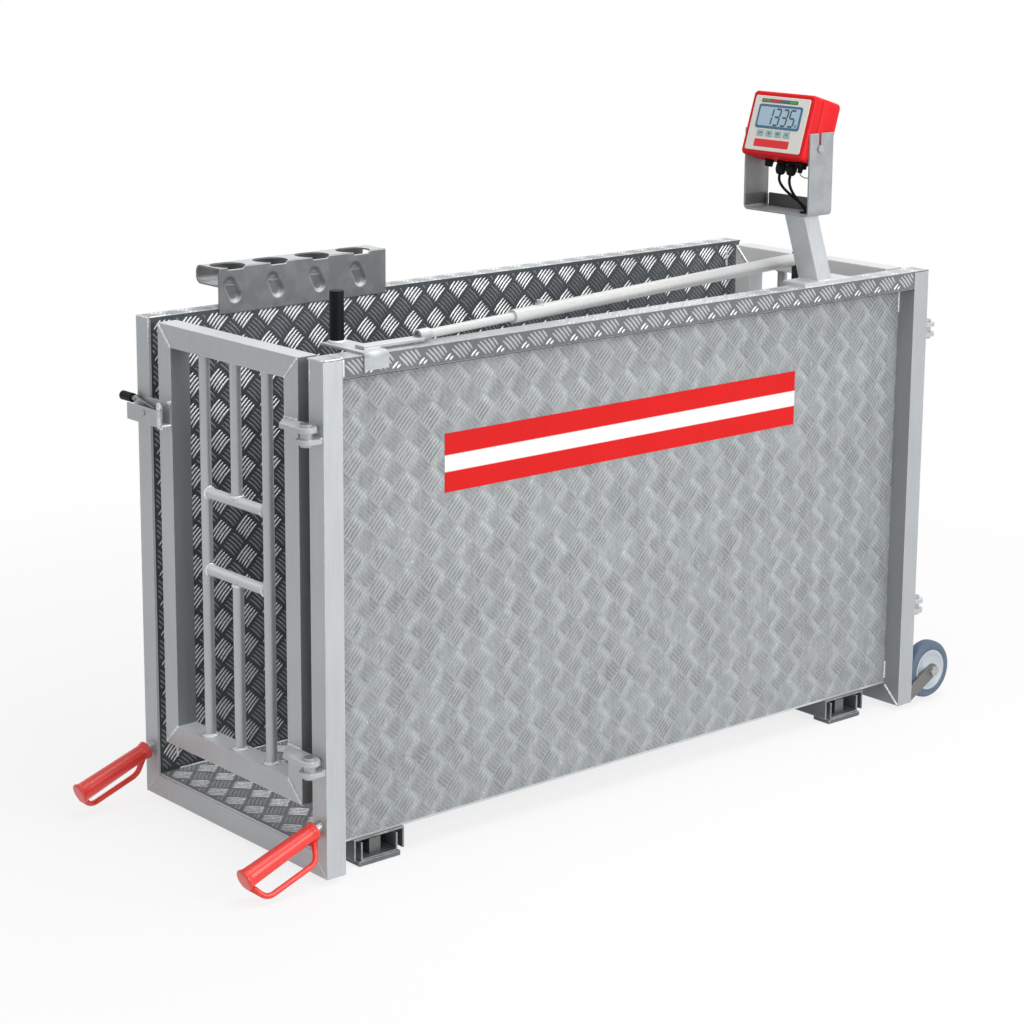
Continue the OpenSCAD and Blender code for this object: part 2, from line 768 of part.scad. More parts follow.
// Hinge strap: welded to the stile's face, cut at 45 degrees, with a bore for the pin
module hinge_strap(z) {
    front = -hinge_out - strap_r;
    translate([0, 0, z]) difference() {
        union() {
            translate([-hinge_out, hinge_y, 0]) cylinder(r = strap_r, h = strap_t);
            linear_extrude(strap_t) polygon([[front, hinge_y], [-sheet_gap, hinge_y],
                [-sheet_gap, gate_low], [0, gate_low], [0, gate_low + tube],
                [front, gate_low + tube + front]]);
        }
        translate([-hinge_out, hinge_y, -e])
            cylinder(d = pin_d + 2 * run_gap, h = strap_t + 2 * e);
    }
}

module front_gate_frame() { placed() color(mill) gate_frame(); }
module front_gate_bars() { placed() color(mill) gate_bars(); }

module front_gate_straps() {
    placed() color(mill) for (z = [hinge_low, hinge_high]) hinge_strap(z);
}

module rear_gate_frame() { placed() color(mill) to_far() gate_frame(); }
module rear_gate_bars() { placed() color(mill) to_far() gate_bars(); }

module rear_gate_straps() {
    placed() color(mill) to_far() for (z = [hinge_low, hinge_high]) hinge_strap(z);
}

// Plate on the far gate with the slot that the push rod's pin runs in
module slot_plate() {
    r0 = crank_arm - slot_half - 1;
    r1 = crank_arm * sqrt(2) + slot_half + 1;
    half = slot_half + slot_margin;
    placed() color(steel) intersection() {
        translate([far_hinge_x, hinge_y, slot_z]) rotate(135) difference() {
            translate([0, -half, 0]) cube([r1 + slot_margin, 2 * half, slot_t]);
            for (r = [r0 + slot_half, r1 - slot_half]) translate([r, 0, -e])
                cylinder(r = slot_half, h = slot_t + 2 * e);
            translate([r0 + slot_half, -slot_half, -e])
                cube([r1 - r0 - 2 * slot_half, 2 * slot_half, slot_t + 2 * e]);
        }
        translate([crate_l / 2, gate_low, 0]) cube([crate_l / 2 - tube, crate_w, crate_h]);
    }
}

// Latch stud on the near left post, with a neck that the tongue drops over
module latch_stud() {
    placed() color(steel) translate([0, latch_y, latch_z]) {
        translate([-16, 0, 0]) rod_along_x(stud_neck_d, 16);
        translate([-20, 0, 0]) rod_along_x(stud_head_d, 5);
    }
}

// Latch bracket: a U of sheet on the gate's stile, open at the top, with a notch for the stud
module latch_bracket() {
    notch = stud_head_d / 2 + 2;
    low = latch_z - latch_h / 2 - 4;
    x0 = -latch_depth;
    w = latch_end - (gate_high - tube);
    placed() color(steel) difference() {
        union() {
            translate([-latch_back - latch_t, gate_high - tube, low])
                cube([latch_t, w, latch_h + 12]);
            translate([-latch_back, gate_high - tube, low]) cube([latch_back, tube, latch_h + 12]);
            translate([x0, gate_high - tube, low]) cube([latch_t, w, latch_h]);
            translate([x0, gate_high - tube, low])
                cube([latch_depth - latch_back, w, latch_t]);
        }
        translate([-latch_back - latch_t - e, latch_y, latch_z])
            rod_along_x(2 * notch, latch_t + 2 * e);
        translate([-latch_back - latch_t - e, latch_y - notch, latch_z])
            cube([latch_t + 2 * e, 2 * notch, latch_h]);
        translate([x0 - e, latch_pivot_y, latch_z])
            rod_along_x(latch_pin_d + 2 * run_gap, latch_depth + 2 * e);
    }
}

module latch_pivot() {
    placed() color(steel) {
        translate([-latch_depth, latch_pivot_y, latch_z])
            rod_along_x(latch_pin_d, latch_depth - latch_back);
        translate([-latch_depth - 2, latch_pivot_y, latch_z])
            rod_along_x(latch_pin_d + 4, 2);
    }
}

// Latch lever: a tongue with a hook over the stud's neck, and a rod that carries the grip
module latch_lever() {
    neck = stud_neck_d / 2 + slide_gap + 0.5;
    placed() color(steel) {
        difference() {
            translate([tongue_x, 0, 0]) rotate([90, 0, 90]) linear_extrude(tongue_t)
                polygon([[latch_pivot_y - 8, latch_z - 7], [latch_pivot_y + 14, latch_z - 10],
                    [latch_y + 9, latch_z - 11], [latch_end - 1, latch_z + 10],
                    [latch_end - 1, latch_z + 22], [latch_pivot_y - 8, latch_z + 9]]);
            translate([tongue_x - e, latch_pivot_y, latch_z])
                rod_along_x(latch_pin_d + 2 * run_gap, tongue_t + 2 * e);
            translate([tongue_x - e, latch_y, latch_z]) rod_along_x(2 * neck, tongue_t + 2 * e);
            translate([tongue_x - e, latch_y, latch_z]) rotate([180 - 8, 0, 0])
                translate([0, -neck, 0]) cube([tongue_t + 2 * e, 2 * neck, latch_h]);
        }
        translate([tongue_x + tongue_t / 2, latch_end - 6, latch_z + 16])
            rod_along_y(lever_d, latch_reach - latch_end + 20);
    }
}

module latch_grip() {
    placed() color(black) translate([tongue_x + tongue_t / 2, latch_reach, latch_z + 16])
        difference() {
            rod_along_y(latch_grip_d, latch_grip_l);
            translate([0, -e, 0]) rod_along_y(lever_d + 2 * bolt_gap, 14 + 2 * e);
        }
}

// Slide: a plate on the right flange, folded down outside it, with a guide inside the wall
module slide_saddle() {
    z = crate_h + slide_gap;
    placed() color(steel) translate([slide_x, 0, 0]) {
        translate([0, -slide_t - slide_gap, z])
            cube([slide_l, slide_reach + slide_t + slide_gap, slide_t]);
        translate([0, -slide_t - slide_gap, z - slide_lip]) cube([slide_l, slide_t, slide_lip]);
        translate([0, flange_w + slide_gap, z - slide_lip]) cube([slide_l, slide_t, slide_lip]);
    }
}

module slide_grip() {
    placed() color(black)
        translate([slide_x + slide_l / 2, slide_reach - slide_grip_d / 2,
            crate_h + slide_gap + slide_t])
            cylinder(d = slide_grip_d, h = slide_grip_h);
}

// Flat bar on the slide, with a socket that holds the push rod's end
module slide_bar() {
    bar_x = slide_x + slide_l * 0.3;
    placed() color(steel) difference() {
        union() {
            translate([bar_x, rod_y0 - slide_bar_w / 2, crate_h + slide_gap + slide_t])
                cube([rod_x0 - 8 - bar_x, slide_bar_w, 6]);
            on_rod_axis() translate([-14, -socket_w / 2, -socket_w / 2])
                cube([28, socket_w, socket_w]);
        }
        on_rod_axis() translate([-6, 0, 0]) rod_along_x(rod_d + 2 * run_gap, 40);
    }
}

// Draws a rod piece along the push rod's axis, from the slide to the far gate
module on_rod_axis() {
    translate([rod_x0, rod_y0, rod_z0]) rotate([0, -rod_slope, rod_angle]) children();
}

module push_rod() {
    placed() color([0.85, 0.85, 0.85]) on_rod_axis()
        translate([-6, 0, 0]) rod_along_x(rod_d, tube_start + 120);
}

module rod_tube() {
    placed() color([0.85, 0.85, 0.85]) on_rod_axis() difference() {
        union() {
            translate([tube_start, 0, 0]) rod_along_x(rod_tube_d, rod_run - tube_start);
            translate([tube_start + clamp_set, 0, 0]) cylinder(d = 16, h = rod_tube_d / 2 + 2);
        }
        translate([tube_start - e, 0, 0])
            rod_along_x(rod_d + 2 * run_gap, rod_run - tube_start + 2 * e);
        translate([tube_start + clamp_set, 0, 0]) cylinder(d = 6 + 2 * bolt_gap, h = rod_tube_d);
    }
}

module rod_clamp() {
    placed() color(steel) on_rod_axis() translate([tube_start + clamp_set, 0, 0]) {
        translate([0, 0, rod_d / 2 + slide_gap]) cylinder(d = 6, h = rod_tube_d / 2);
        translate([0, 0, rod_tube_d / 2 + 2]) cylinder(d = 13, h = 6, $fn = 6);
    }
}

// Cap on the tube's end, and the link that drops from it to the pin in the slot
module drop_link() {
    end_x = rod_x0 + (rod_run + cap_l) * rod_shrink;
    y0 = crank_y - link_w / 2;
    placed() color([0.2, 0.2, 0.21]) {
        on_rod_axis() {
            translate([rod_run - 10, 0, 0]) rod_along_x(rod_d - 0.4, 12);
            translate([rod_run, 0, 0]) rod_along_x(rod_tube_d - 3, cap_l + 4);
        }
        translate([end_x, y0, link_z]) cube([link_t, link_w, rod_z - link_z + rod_tube_d / 2]);
        translate([end_x, y0, link_z]) cube([crank_x - end_x, link_w, link_t]);
        translate([crank_x, crank_y, link_z]) cylinder(d = link_w, h = link_t);
        translate([crank_x, crank_y, slot_z - 4]) cylinder(d = crank_pin_d, h = link_z - slot_z + 4);
    }
}

// Marker rack: a folded sheet on the left wall with four pockets, and a dent below each
module marker_rack() {
    low = crate_h - rack_lap;
    shelf_z = rack_top - rack_back_h;
    back = rack_y + rack_d - rack_t;
    placed() color(steel) translate([rack_x, 0, 0]) difference() {
        union() {
            translate([0, rack_y, low]) cube([rack_l, rack_t, rack_top - low]);
            translate([0, rack_y, rack_top - rack_t]) cube([rack_l, rack_d, rack_t]);
            translate([0, back, shelf_z]) cube([rack_l, rack_t, rack_back_h]);
            translate([0, rack_y + rack_d - rack_shelf, shelf_z])
                cube([rack_l, rack_shelf, rack_t]);
        }
        for (i = [0 : 3]) translate([(i + 0.5) * rack_pitch - 10, rack_y, rack_top]) {
            translate([0, rack_hole_d * 0.42, -rack_t - 4])
                cylinder(d = rack_hole_d, h = rack_t + 4 + e);
            translate([-14, -e, -rack_dent_top]) rotate([0, -rack_slant, 0]) {
                rod_along_y(rack_dent_w, rack_dent_t + e);
                translate([0, 0, -rack_dent_l]) rod_along_y(rack_dent_w, rack_dent_t + e);
                translate([-rack_dent_w / 2, 0, -rack_dent_l])
                    cube([rack_dent_w, rack_dent_t + e, rack_dent_l]);
            }
        }
    }
}

// Mast: a leaning rectangular tube, cut level at both ends, welded to its base plate
module mast() {
    t = 3;
    placed() color(mill) difference() {
        translate([mast_x, 0, crate_h]) cube([mast_plate_l, mast_plate_w, mast_plate_t]);
        translate([mast_x + mast_set + mast_dx / 2, tube / 2, crate_h - e])
            cylinder(d = cable_hole_d, h = mast_plate_t + 2 * e);
    }
    placed() color(mill) translate([mast_x + mast_set, mast_y, mast_z])
        multmatrix([[1, 0, -tan(mast_lean), 0], [0, 1, 0, 0], [0, 0, 1, 0], [0, 0, 0, 1]])
            difference() {
                cube([mast_dx, mast_dy, mast_h]);
                translate([t, t, -e]) cube([mast_dx - 2 * t, mast_dy - 2 * t, mast_h + 2 * e]);
            }
}

module indicator_bracket() {
    slot = tilt_screw_d + 1;
    placed() color(steel) difference() {
        union() {
            difference() {
                translate([bracket_x, -bracket_out, mast_top])
                    cube([bracket_d, bracket_w, bracket_h]);
                translate([bracket_x - e, -bracket_out + bracket_t, mast_top + bracket_t])
                    cube([bracket_d + 2 * e, bracket_w - 2 * bracket_t, bracket_h]);
            }
            translate([bracket_x + bracket_d - bracket_t, -bracket_out, mast_top])
                cube([bracket_t, bracket_w, bracket_back_h]);
        }
        translate([tilt_x - slot / 2, -bracket_out - e, tilt_z])
            cube([slot, bracket_w + 2 * e, tilt_drop + e]);
        translate([tilt_x, -bracket_out - e, tilt_z]) rod_along_y(slot, bracket_w + 2 * e);
        translate([grommet_x, grommet_y, mast_top - e]) cylinder(d = 22, h = bracket_t + 2 * e);
    }
}

module cable_grommet() {
    placed() color(black) translate([grommet_x, grommet_y, mast_top]) {
        difference() {
            union() {
                cylinder(d = 22 - 2 * slide_gap, h = bracket_t);
                translate([0, 0, bracket_t]) cylinder(d = 27, h = 3);
            }
            translate([0, 0, -e]) cylinder(d = cable_hole_d, h = bracket_t + 3 + 2 * e);
        }
    }
}

// Puts an indicator piece, drawn square about the tilt axis, at its tilt
module on_tilt() {
    translate([tilt_x, case_y, tilt_z]) rotate([0, case_tilt, 0])
        translate([0, 0, case_rise]) children();
}

// Housing outline, rounded at its corners, from one depth to another
module case_block(x0, x1, inset) {
    r = 8;
    w = case_w - 2 * inset;
    h = case_h - 2 * inset;
    translate([x0, inset, inset - case_h / 2]) {
        translate([0, r, 0]) cube([x1 - x0, w - 2 * r, h]);
        translate([0, 0, r]) cube([x1 - x0, w, h - 2 * r]);
        for (y = [r, w - r], z = [r, h - r]) translate([0, y, z]) rod_along_x(2 * r, x1 - x0);
    }
}

module key_row(gap) {
    for (i = [0 : 3]) translate([-case_d / 2 - e, key_mid + (1.5 - i) * key_pitch
        - key_w / 2 - gap, key_low - gap])
            cube([case_front, key_w + 2 * gap, key_h + 2 * gap]);
}

module indicator_front() {
    placed() color(red) on_tilt() difference() {
        case_block(-case_d / 2, -case_d / 2 + case_front, 0);
        case_block(-case_d / 2 + case_t, case_front, case_t);
        key_row(slide_gap);
    }
}

module indicator_back() {
    placed() color(red) on_tilt() difference() {
        case_block(-case_d / 2 + case_front, case_d / 2, 0);
        case_block(-case_d / 2 + case_front - e, case_d / 2 - case_t, case_t);
        for (y = gland_ys) translate([gland_x, y, -case_h / 2 - e]) cylinder(d = 12 + 2 * bolt_gap,
            h = case_t + 2 * e);
        translate([0, -e, -case_rise]) rod_along_y(tilt_screw_d + 2 * bolt_gap, case_w + 2 * e);
    }
}

module indicator_panel() {
    placed() color([0.93, 0.94, 0.92]) on_tilt() difference() {
        translate([-case_d / 2 - panel_t, panel_in, -case_h / 2 + panel_in])
            cube([panel_t, case_w - 2 * panel_in, case_h - 2 * panel_in]);
        key_row(slide_gap);
    }
}

module display() {
    placed() color([0.6, 0.72, 0.8]) on_tilt()
        translate([-case_d / 2 - panel_t - 0.8, (case_w - display_w) / 2, key_top + 3])
            cube([0.8, display_w, display_h]);
}

module circuit_board() {
    placed() color([0.1, 0.4, 0.2]) on_tilt()
        translate([-case_d / 2 + case_t + 6, case_t, -case_h / 4])
            cube([2, case_w - 2 * case_t, case_h / 2]);
}

module cable_glands() {
    placed() color(black) on_tilt() for (y = gland_ys)
        translate([gland_x, y, -case_h / 2 - gland_h]) difference() {
            union() {
                cylinder(d = gland_d, h = gland_h);
                translate([0, 0, gland_h]) cylinder(d = 12, h = case_t);
            }
            translate([0, 0, -e]) cylinder(d = lead_d + 2 * slide_gap, h = gland_h + case_t + 2 * e);
        }
    placed() color(black) on_tilt() translate([gland_x, case_w * 0.74, -case_h / 2 - gland_h / 2])
        cylinder(d = gland_d - 4, h = gland_h / 2);
}

// Place of a point of the tilted indicator, in the working frame
function tilted(p) = [
    tilt_x + p[0] * cos(case_tilt) + (p[2] + case_rise) * sin(case_tilt),
    case_y + p[1],
    tilt_z - p[0] * sin(case_tilt) + (p[2] + case_rise) * cos(case_tilt)];

// Leads from the indicator's glands to the grommet over the mast
module indicator_leads() {
    low = -case_h / 2 - gland_h;
    placed() color(black) for (i = [0, 1]) {
        x = grommet_x + (2 * i - 1) * (lead_d / 2 + 0.2);
        rod_path([tilted([gland_x, gland_ys[i], low + 10]),
            tilted([gland_x, gland_ys[i], low - 12]),
            [x - 4, (grommet_y + case_y + gland_ys[i]) / 2, lead_low + 30],
            [x, grommet_y, lead_low + 16], [x, grommet_y, lead_low]], lead_d);
    }
}

// Screws in the slots of the bracket's arms, on which the indicator tilts
module tilt_screws() {
    grip = bracket_t + case_gap + case_t;
    placed() color(steel) for (s = [0, 1]) translate([tilt_x, s * (case_w + 2 * case_y), tilt_z])
        mirror([0, s, 0]) translate([0, -bracket_out, 0]) {
            rod_along_y(tilt_screw_d, grip);
            translate([0, -4, 0]) rod_along_y(14, 4);
        }
}

module key(i) {
    placed() color([0.6, 0.72, 0.75]) on_tilt()
        translate([-case_d / 2 - panel_t - key_travel, key_mid + (1.5 - i) * key_pitch
            - key_w / 2, key_low])
            cube([panel_t + case_t, key_w, key_h]);
}

module key_1() { key(0); }
module key_2() { key(1); }
module key_3() { key(2); }
module key_4() { key(3); }

module banner() {
    placed() color(red) translate([banner_x, tube - banner_t, banner_z])
        cube([banner_l, banner_t, banner_h]);
}

near_end_frame();
far_end_frame();
right_side_wall();
left_side_wall();
floor_plate();
cross_channels();
base_channels();
load_cells();
load_cell_bolts();
foot_plates();
junction_box();
load_cell_cables();
signal_cable();
wheel_brackets();
wheel_axles();
handle_stubs();
right_grip();
left_grip();
hinge_post_plates();
hinge_pins();
latch_stud();
marker_rack();
mast();
indicator_bracket();
cable_grommet();
indicator_leads();
banner();
front_gate_frame();
front_gate_bars();
front_gate_straps();
latch_bracket();
latch_pivot();
latch_lever();
latch_grip();
rear_gate_frame();
rear_gate_bars();
rear_gate_straps();
slot_plate();
slide_saddle();
slide_grip();
slide_bar();
push_rod();
rod_tube();
rod_clamp();
drop_link();
right_tyre();
right_hub();
left_tyre();
left_hub();
indicator_front();
indicator_back();
indicator_panel();
display();
circuit_board();
cable_glands();
tilt_screws();
key_1();
key_2();
key_3();
key_4();
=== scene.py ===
import random
from math import atan2, cos, hypot, pi, radians, sin, sqrt, tan

import bpy
import bmesh
from mathutils import Matrix, Vector


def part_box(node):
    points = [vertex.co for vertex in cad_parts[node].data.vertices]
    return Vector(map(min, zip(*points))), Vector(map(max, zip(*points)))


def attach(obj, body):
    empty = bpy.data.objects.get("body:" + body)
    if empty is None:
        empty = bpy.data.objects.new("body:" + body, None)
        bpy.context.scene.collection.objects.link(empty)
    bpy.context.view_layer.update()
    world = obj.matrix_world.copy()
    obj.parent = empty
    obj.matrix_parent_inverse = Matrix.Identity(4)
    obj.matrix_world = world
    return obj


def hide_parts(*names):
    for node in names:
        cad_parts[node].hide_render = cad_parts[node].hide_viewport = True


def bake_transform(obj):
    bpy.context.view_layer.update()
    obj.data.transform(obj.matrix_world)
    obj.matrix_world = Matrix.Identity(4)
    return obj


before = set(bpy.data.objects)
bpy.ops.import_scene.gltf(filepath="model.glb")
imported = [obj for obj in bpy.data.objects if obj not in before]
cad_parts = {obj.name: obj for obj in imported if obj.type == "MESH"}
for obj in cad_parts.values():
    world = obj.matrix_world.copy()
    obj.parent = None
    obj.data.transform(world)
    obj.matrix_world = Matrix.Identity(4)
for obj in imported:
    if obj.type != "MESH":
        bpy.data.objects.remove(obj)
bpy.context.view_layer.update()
rng = random.Random(7)

# -------- places
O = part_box("near_end_frame")[0]
O = Vector((O.x, O.y, 0.0))
move = Matrix.Translation


def W(x, y, z):
    """Working frame in mm (zero at the near right corner) to the row frame in metres."""
    return Vector((O.x + x / 1000, O.y + y / 1000, z / 1000))


def turn(angle, axis):
    return Matrix.Rotation(angle, 4, axis)


def linked(name, data):
    o = bpy.data.objects.new(name, data)
    bpy.context.scene.collection.objects.link(o)
    return o


def mm_box(name):
    """A node's box corners in the working frame, in mm."""
    return [(v - O) * 1000 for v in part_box(name)]


LENGTH, WIDTH, TOP, TUBE = 1500, 560, 911, 40
GATE_Y, GATE_Z = (70, 490), (125, 907)
BAR_GAP, BAR_R, CROSS_Z = 94, 10, (476, 617)
SHEET_Y = 43  # the right sheet's inner face
HINGE_Z = (218, 793)
tilt_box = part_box("tilt_screws")
TILT_X = ((tilt_box[0].x + tilt_box[1].x) / 2 - O.x) * 1000
TILT_Z = (tilt_box[0].z + tilt_box[1].z) / 2 * 1000
LEAN_BACK = radians(17)
# the indicator's own frame: x to the back, y along the case from its right end, z up
IND = move(W(TILT_X, -13.5, TILT_Z)) @ turn(LEAN_BACK, "Y") @ move((0, 0, 0.031))
CASE_W, CASE_H = 159, 124
QUARTER = pi / 2

# -------- camera, fitted to the frame's corners
PHOTO_PX, AXIS_PX, FOCAL_PX, SENSOR = 1024, 410, 2581.9164, 36
cam_pos = W(-2468.053, -3309.5706, 1710.5096 + 11)
yaw, pitch, roll = 0.8957, 0.2128, -0.0014
ahead = Vector((cos(pitch) * cos(yaw), cos(pitch) * sin(yaw), -sin(pitch)))
level = Vector((sin(yaw), -cos(yaw), 0))
upright = level.cross(ahead)
right = level * cos(roll) + upright * sin(roll)
up = upright * cos(roll) - level * sin(roll)
cam = bpy.data.cameras.new("camera")
cam_o = linked("camera", cam)
cam_o.matrix_world = move(cam_pos) @ Matrix((right, up, -ahead)).transposed().to_4x4()
cam.sensor_fit = "HORIZONTAL"
cam.sensor_width = SENSOR
cam.lens = FOCAL_PX / PHOTO_PX * SENSOR
cam.shift_x = (PHOTO_PX / 2 - AXIS_PX) / PHOTO_PX
cam.shift_y = (AXIS_PX - PHOTO_PX / 2) / PHOTO_PX
cam.clip_end = 100
bpy.context.scene.camera = cam_o


# -------- materials
def srgb(h):
    out = []
    for i in (1, 3, 5):
        c = int(h[i:i + 2], 16) / 255
        out.append(c / 12.92 if c <= 0.04045 else ((c + 0.055) / 1.055) ** 2.4)
    return tuple(out)


class Tree:
    """Shader nodes, built step by step. A value is a number, a colour or another node's output."""

    def __init__(self, tree):
        self.t = tree
        tree.nodes.clear()

    def node(self, kind, sockets=(), **props):
        """sockets: (input, value) pairs."""
        n = self.t.nodes.new("ShaderNode" + kind)
        for k, v in props.items():
            setattr(n, k, v)
        for k, v in sockets:
            self.put(n.inputs[k], v)
        return n

    def put(self, sock, value):
        if isinstance(value, (int, float)):
            sock.default_value = value
        elif isinstance(value, (tuple, list)):
            sock.default_value = (*value, 1) if len(value) == 3 and len(sock.default_value) == 4 else value
        else:
            self.t.links.new(value, sock)

    def math(self, op, a, b=0.5, clamp=False):
        return self.node("Math", ((0, a), (1, b)), operation=op, use_clamp=clamp).outputs[0]

    def add(self, a, b, clamp=False):
        return self.math("ADD", a, b, clamp)

    def sub(self, a, b):
        return self.math("SUBTRACT", a, b)

    def mul(self, a, b):
        return self.math("MULTIPLY", a, b)

    def div(self, a, b):
        return self.math("DIVIDE", a, b)

    def mix_shaders(self, fac, a, b):
        return self.node("MixShader", ((0, fac), (1, a), (2, b))).outputs[0]


class Mat(Tree):
    """A material round one Principled shader."""

    def __init__(self, name, rough, metallic=0.0, col=(0.5, 0.5, 0.5)):
        self.m = bpy.data.materials.new(name)
        self.m.use_nodes = True
        super().__init__(self.m.node_tree)
        self.b = self.node("BsdfPrincipled", (("Roughness", rough), ("Metallic", metallic), ("Base Color", col)))
        self.out = self.node("OutputMaterial", ((0, self.b.outputs[0]),))
        self.tc = self.node("TexCoord")

    def xyz(self, source=None):
        """The parts of a vector, or of the object's own coordinates."""
        return self.node("SeparateXYZ", ((0, source or self.tc.outputs["Object"]),)).outputs

    def noise(self, scale, detail=3.0, rough=0.5, stretch=(1, 1, 1), tilt=0.0):
        place = self.node("Mapping", (("Rotation", (0, tilt, 0)), ("Scale", stretch),
                                      ("Vector", self.tc.outputs["Object"])))
        return self.node("TexNoise", (("Scale", scale), ("Detail", detail), ("Roughness", rough),
                                      ("Vector", place.outputs[0]))).outputs[0]

    def remap(self, v, lo, hi, a, b):
        return self.node("MapRange", enumerate((v, lo, hi, a, b)), clamp=True).outputs[0]

    def mix(self, fac, a, b, **props):
        return self.node("Mix", ((0, fac), (6, a), (7, b)), **{"data_type": "RGBA", **props}).outputs[2]

    def shade(self, col, fac):
        """col times fac, where fac is a value near 1."""
        grey = self.node("CombineColor", enumerate((fac, fac, fac))).outputs[0]
        return self.mix(1, col, grey, blend_type="MULTIPLY")

    def bevel(self, radius, samples):
        return self.node("Bevel", (("Radius", radius),), samples=samples).outputs[0]

    def facing(self):
        return self.node("NewGeometry").outputs["Normal"]

    def edge(self, radius):
        """Near 1 along an object's edges, 0 elsewhere."""
        dot = self.node("VectorMath", enumerate((self.bevel(radius, 6), self.facing())), operation="DOT_PRODUCT")
        return self.remap(self.sub(1.0, dot.outputs["Value"]), 0.02, 0.22, 0.0, 1.0)

    def finish(self, col, rough=None, bump=None, strength=0.3, dist=0.001, bevel=0.0):
        normal = self.bevel(bevel, 4) if bevel else None
        if bump is not None:
            bumpy = self.node("Bump", (("Strength", strength), ("Distance", dist), ("Height", bump)))
            if normal is not None:
                self.put(bumpy.inputs["Normal"], normal)
            normal = bumpy.outputs[0]
        for k, v in (("Base Color", col), ("Roughness", rough), ("Normal", normal)):
            if v is not None:
                self.put(self.b.inputs[k], v)
        return self.m


def metal(name, col, rough, metallic, amount, grain, bevel=0.0, streak=(1, 1, 1), spots=0.0, edge_highlight=0.0,
          highlight_col="#F4F5F5", sky_reflection=0.0, highlight_width=1.2, side_shading=None):
    """The edge amount paints a highlight along the edges; the sky amount paints a sky reflection on faces that look
    up;
    the side tint, as (axis, sign, amount, tone), paints light or shade, by its tone, on faces that look one way in
    the object's own frame."""
    m = Mat(name, rough, metallic)
    fine = m.noise(150, 3, 0.6, streak)
    v = m.add(m.remap(m.noise(5, 4, 0.55), 0.3, 0.7, -amount, amount), m.remap(fine, 0.3, 0.7, -grain, grain))
    if spots:
        v = m.add(v, m.remap(m.noise(38, 2, 0.4), 0.42, 0.62, -spots, spots))
    col = m.shade(srgb(col), m.add(v, 1.0))
    # painted highlight along the edges, broken up by noise
    if edge_highlight:
        highlight_mask = m.mul(m.edge(bevel * highlight_width), m.remap(m.noise(45, 3, 0.6), 0.35, 0.6, 0.35, 1.0))
        col = m.mix(m.mul(highlight_mask, edge_highlight), col, srgb(highlight_col))
    # painted sky reflection: faces that look up are mixed towards near white
    if sky_reflection:
        z = m.xyz(m.facing())[2]
        col = m.mix(m.remap(z, 0.05, 0.75, 0.0, sky_reflection), col, srgb("#F2F3F3"))
    # painted light where the tone is lighter, painted shade where it is darker, on faces that look one way
    if side_shading:
        axis, sign, amt, tone = side_shading
        own = m.xyz(m.tc.outputs["Normal"])[axis]
        col = m.mix(m.remap(m.mul(own, sign), 0.6, 0.9, 0.0, amt), col, srgb(tone))
    return m.finish(col, m.add(rough, m.remap(fine, 0.3, 0.7, -0.06, 0.08)), fine, 0.12, 0.0004, bevel)


def plastic(name, col, rough, grain=900, strength=0.02, amount=0.05, bevel=0.0, coat=0.0, specular=None):
    m = Mat(name, rough)
    big = m.noise(14, 3, 0.5)
    if coat:
        m.put(m.b.inputs["Coat Weight"], coat)
        m.put(m.b.inputs["Coat Roughness"], 0.2)
    if specular:
        m.put(m.b.inputs["Specular IOR Level"], specular)
    return m.finish(m.shade(srgb(col), m.remap(big, 0.3, 0.7, 1 - amount, 1 + amount)),
                    m.remap(big, 0.3, 0.7, rough - 0.05, rough + 0.07),
                    m.noise(grain, 2, 0.5), strength, 0.0003, bevel)


PITCH = 0.057


def quintet(m, width, soft, length=0.036, gap=0.0070, curve=3.2):
    """The two sets of five-bar groups of a tread plate, in x and z: each set's mask, side and upper end."""
    coords = m.xyz()
    a = m.add(coords[0], 0.0241 - O.x)
    b = m.add(coords[2], 0.020)

    def half(offset, flip):
        au = m.add(m.div(a, PITCH), offset)
        bv = m.add(m.div(b, PITCH), offset)
        du = m.sub(au, m.math("ROUND", au))
        dv = m.sub(bv, m.math("ROUND", bv))
        k = PITCH / sqrt(2)
        p = m.mul(m.add(du, dv), k)
        q = m.mul(m.sub(dv, du), k)
        t, s = (q, p) if flip else (p, q)
        s = m.add(s, m.mul(m.mul(t, t), curve * (-1 if flip else 1)))
        i = m.math("ROUND", m.div(s, gap))
        i = m.math("MINIMUM", m.math("MAXIMUM", i, -2.0), 2.0)
        ds = m.sub(s, m.mul(i, gap))
        dt = m.math("MAXIMUM", m.sub(m.math("ABSOLUTE", t), length / 2 - width * 1.5), 0.0)
        dt = m.div(dt, 2.2)
        d = m.div(m.math("SQRT", m.add(m.mul(ds, ds), m.mul(dt, dt))), width)
        mask = m.remap(d, 1 - soft, 1 + soft, 1.0, 0.0)
        upper = m.mul(mask, m.remap(t, length * 0.12, length * 0.46, 0.0, 1.0))
        return mask, m.mul(mask, m.div(ds, width)), upper
    return half(0.0, False), half(0.5, True)


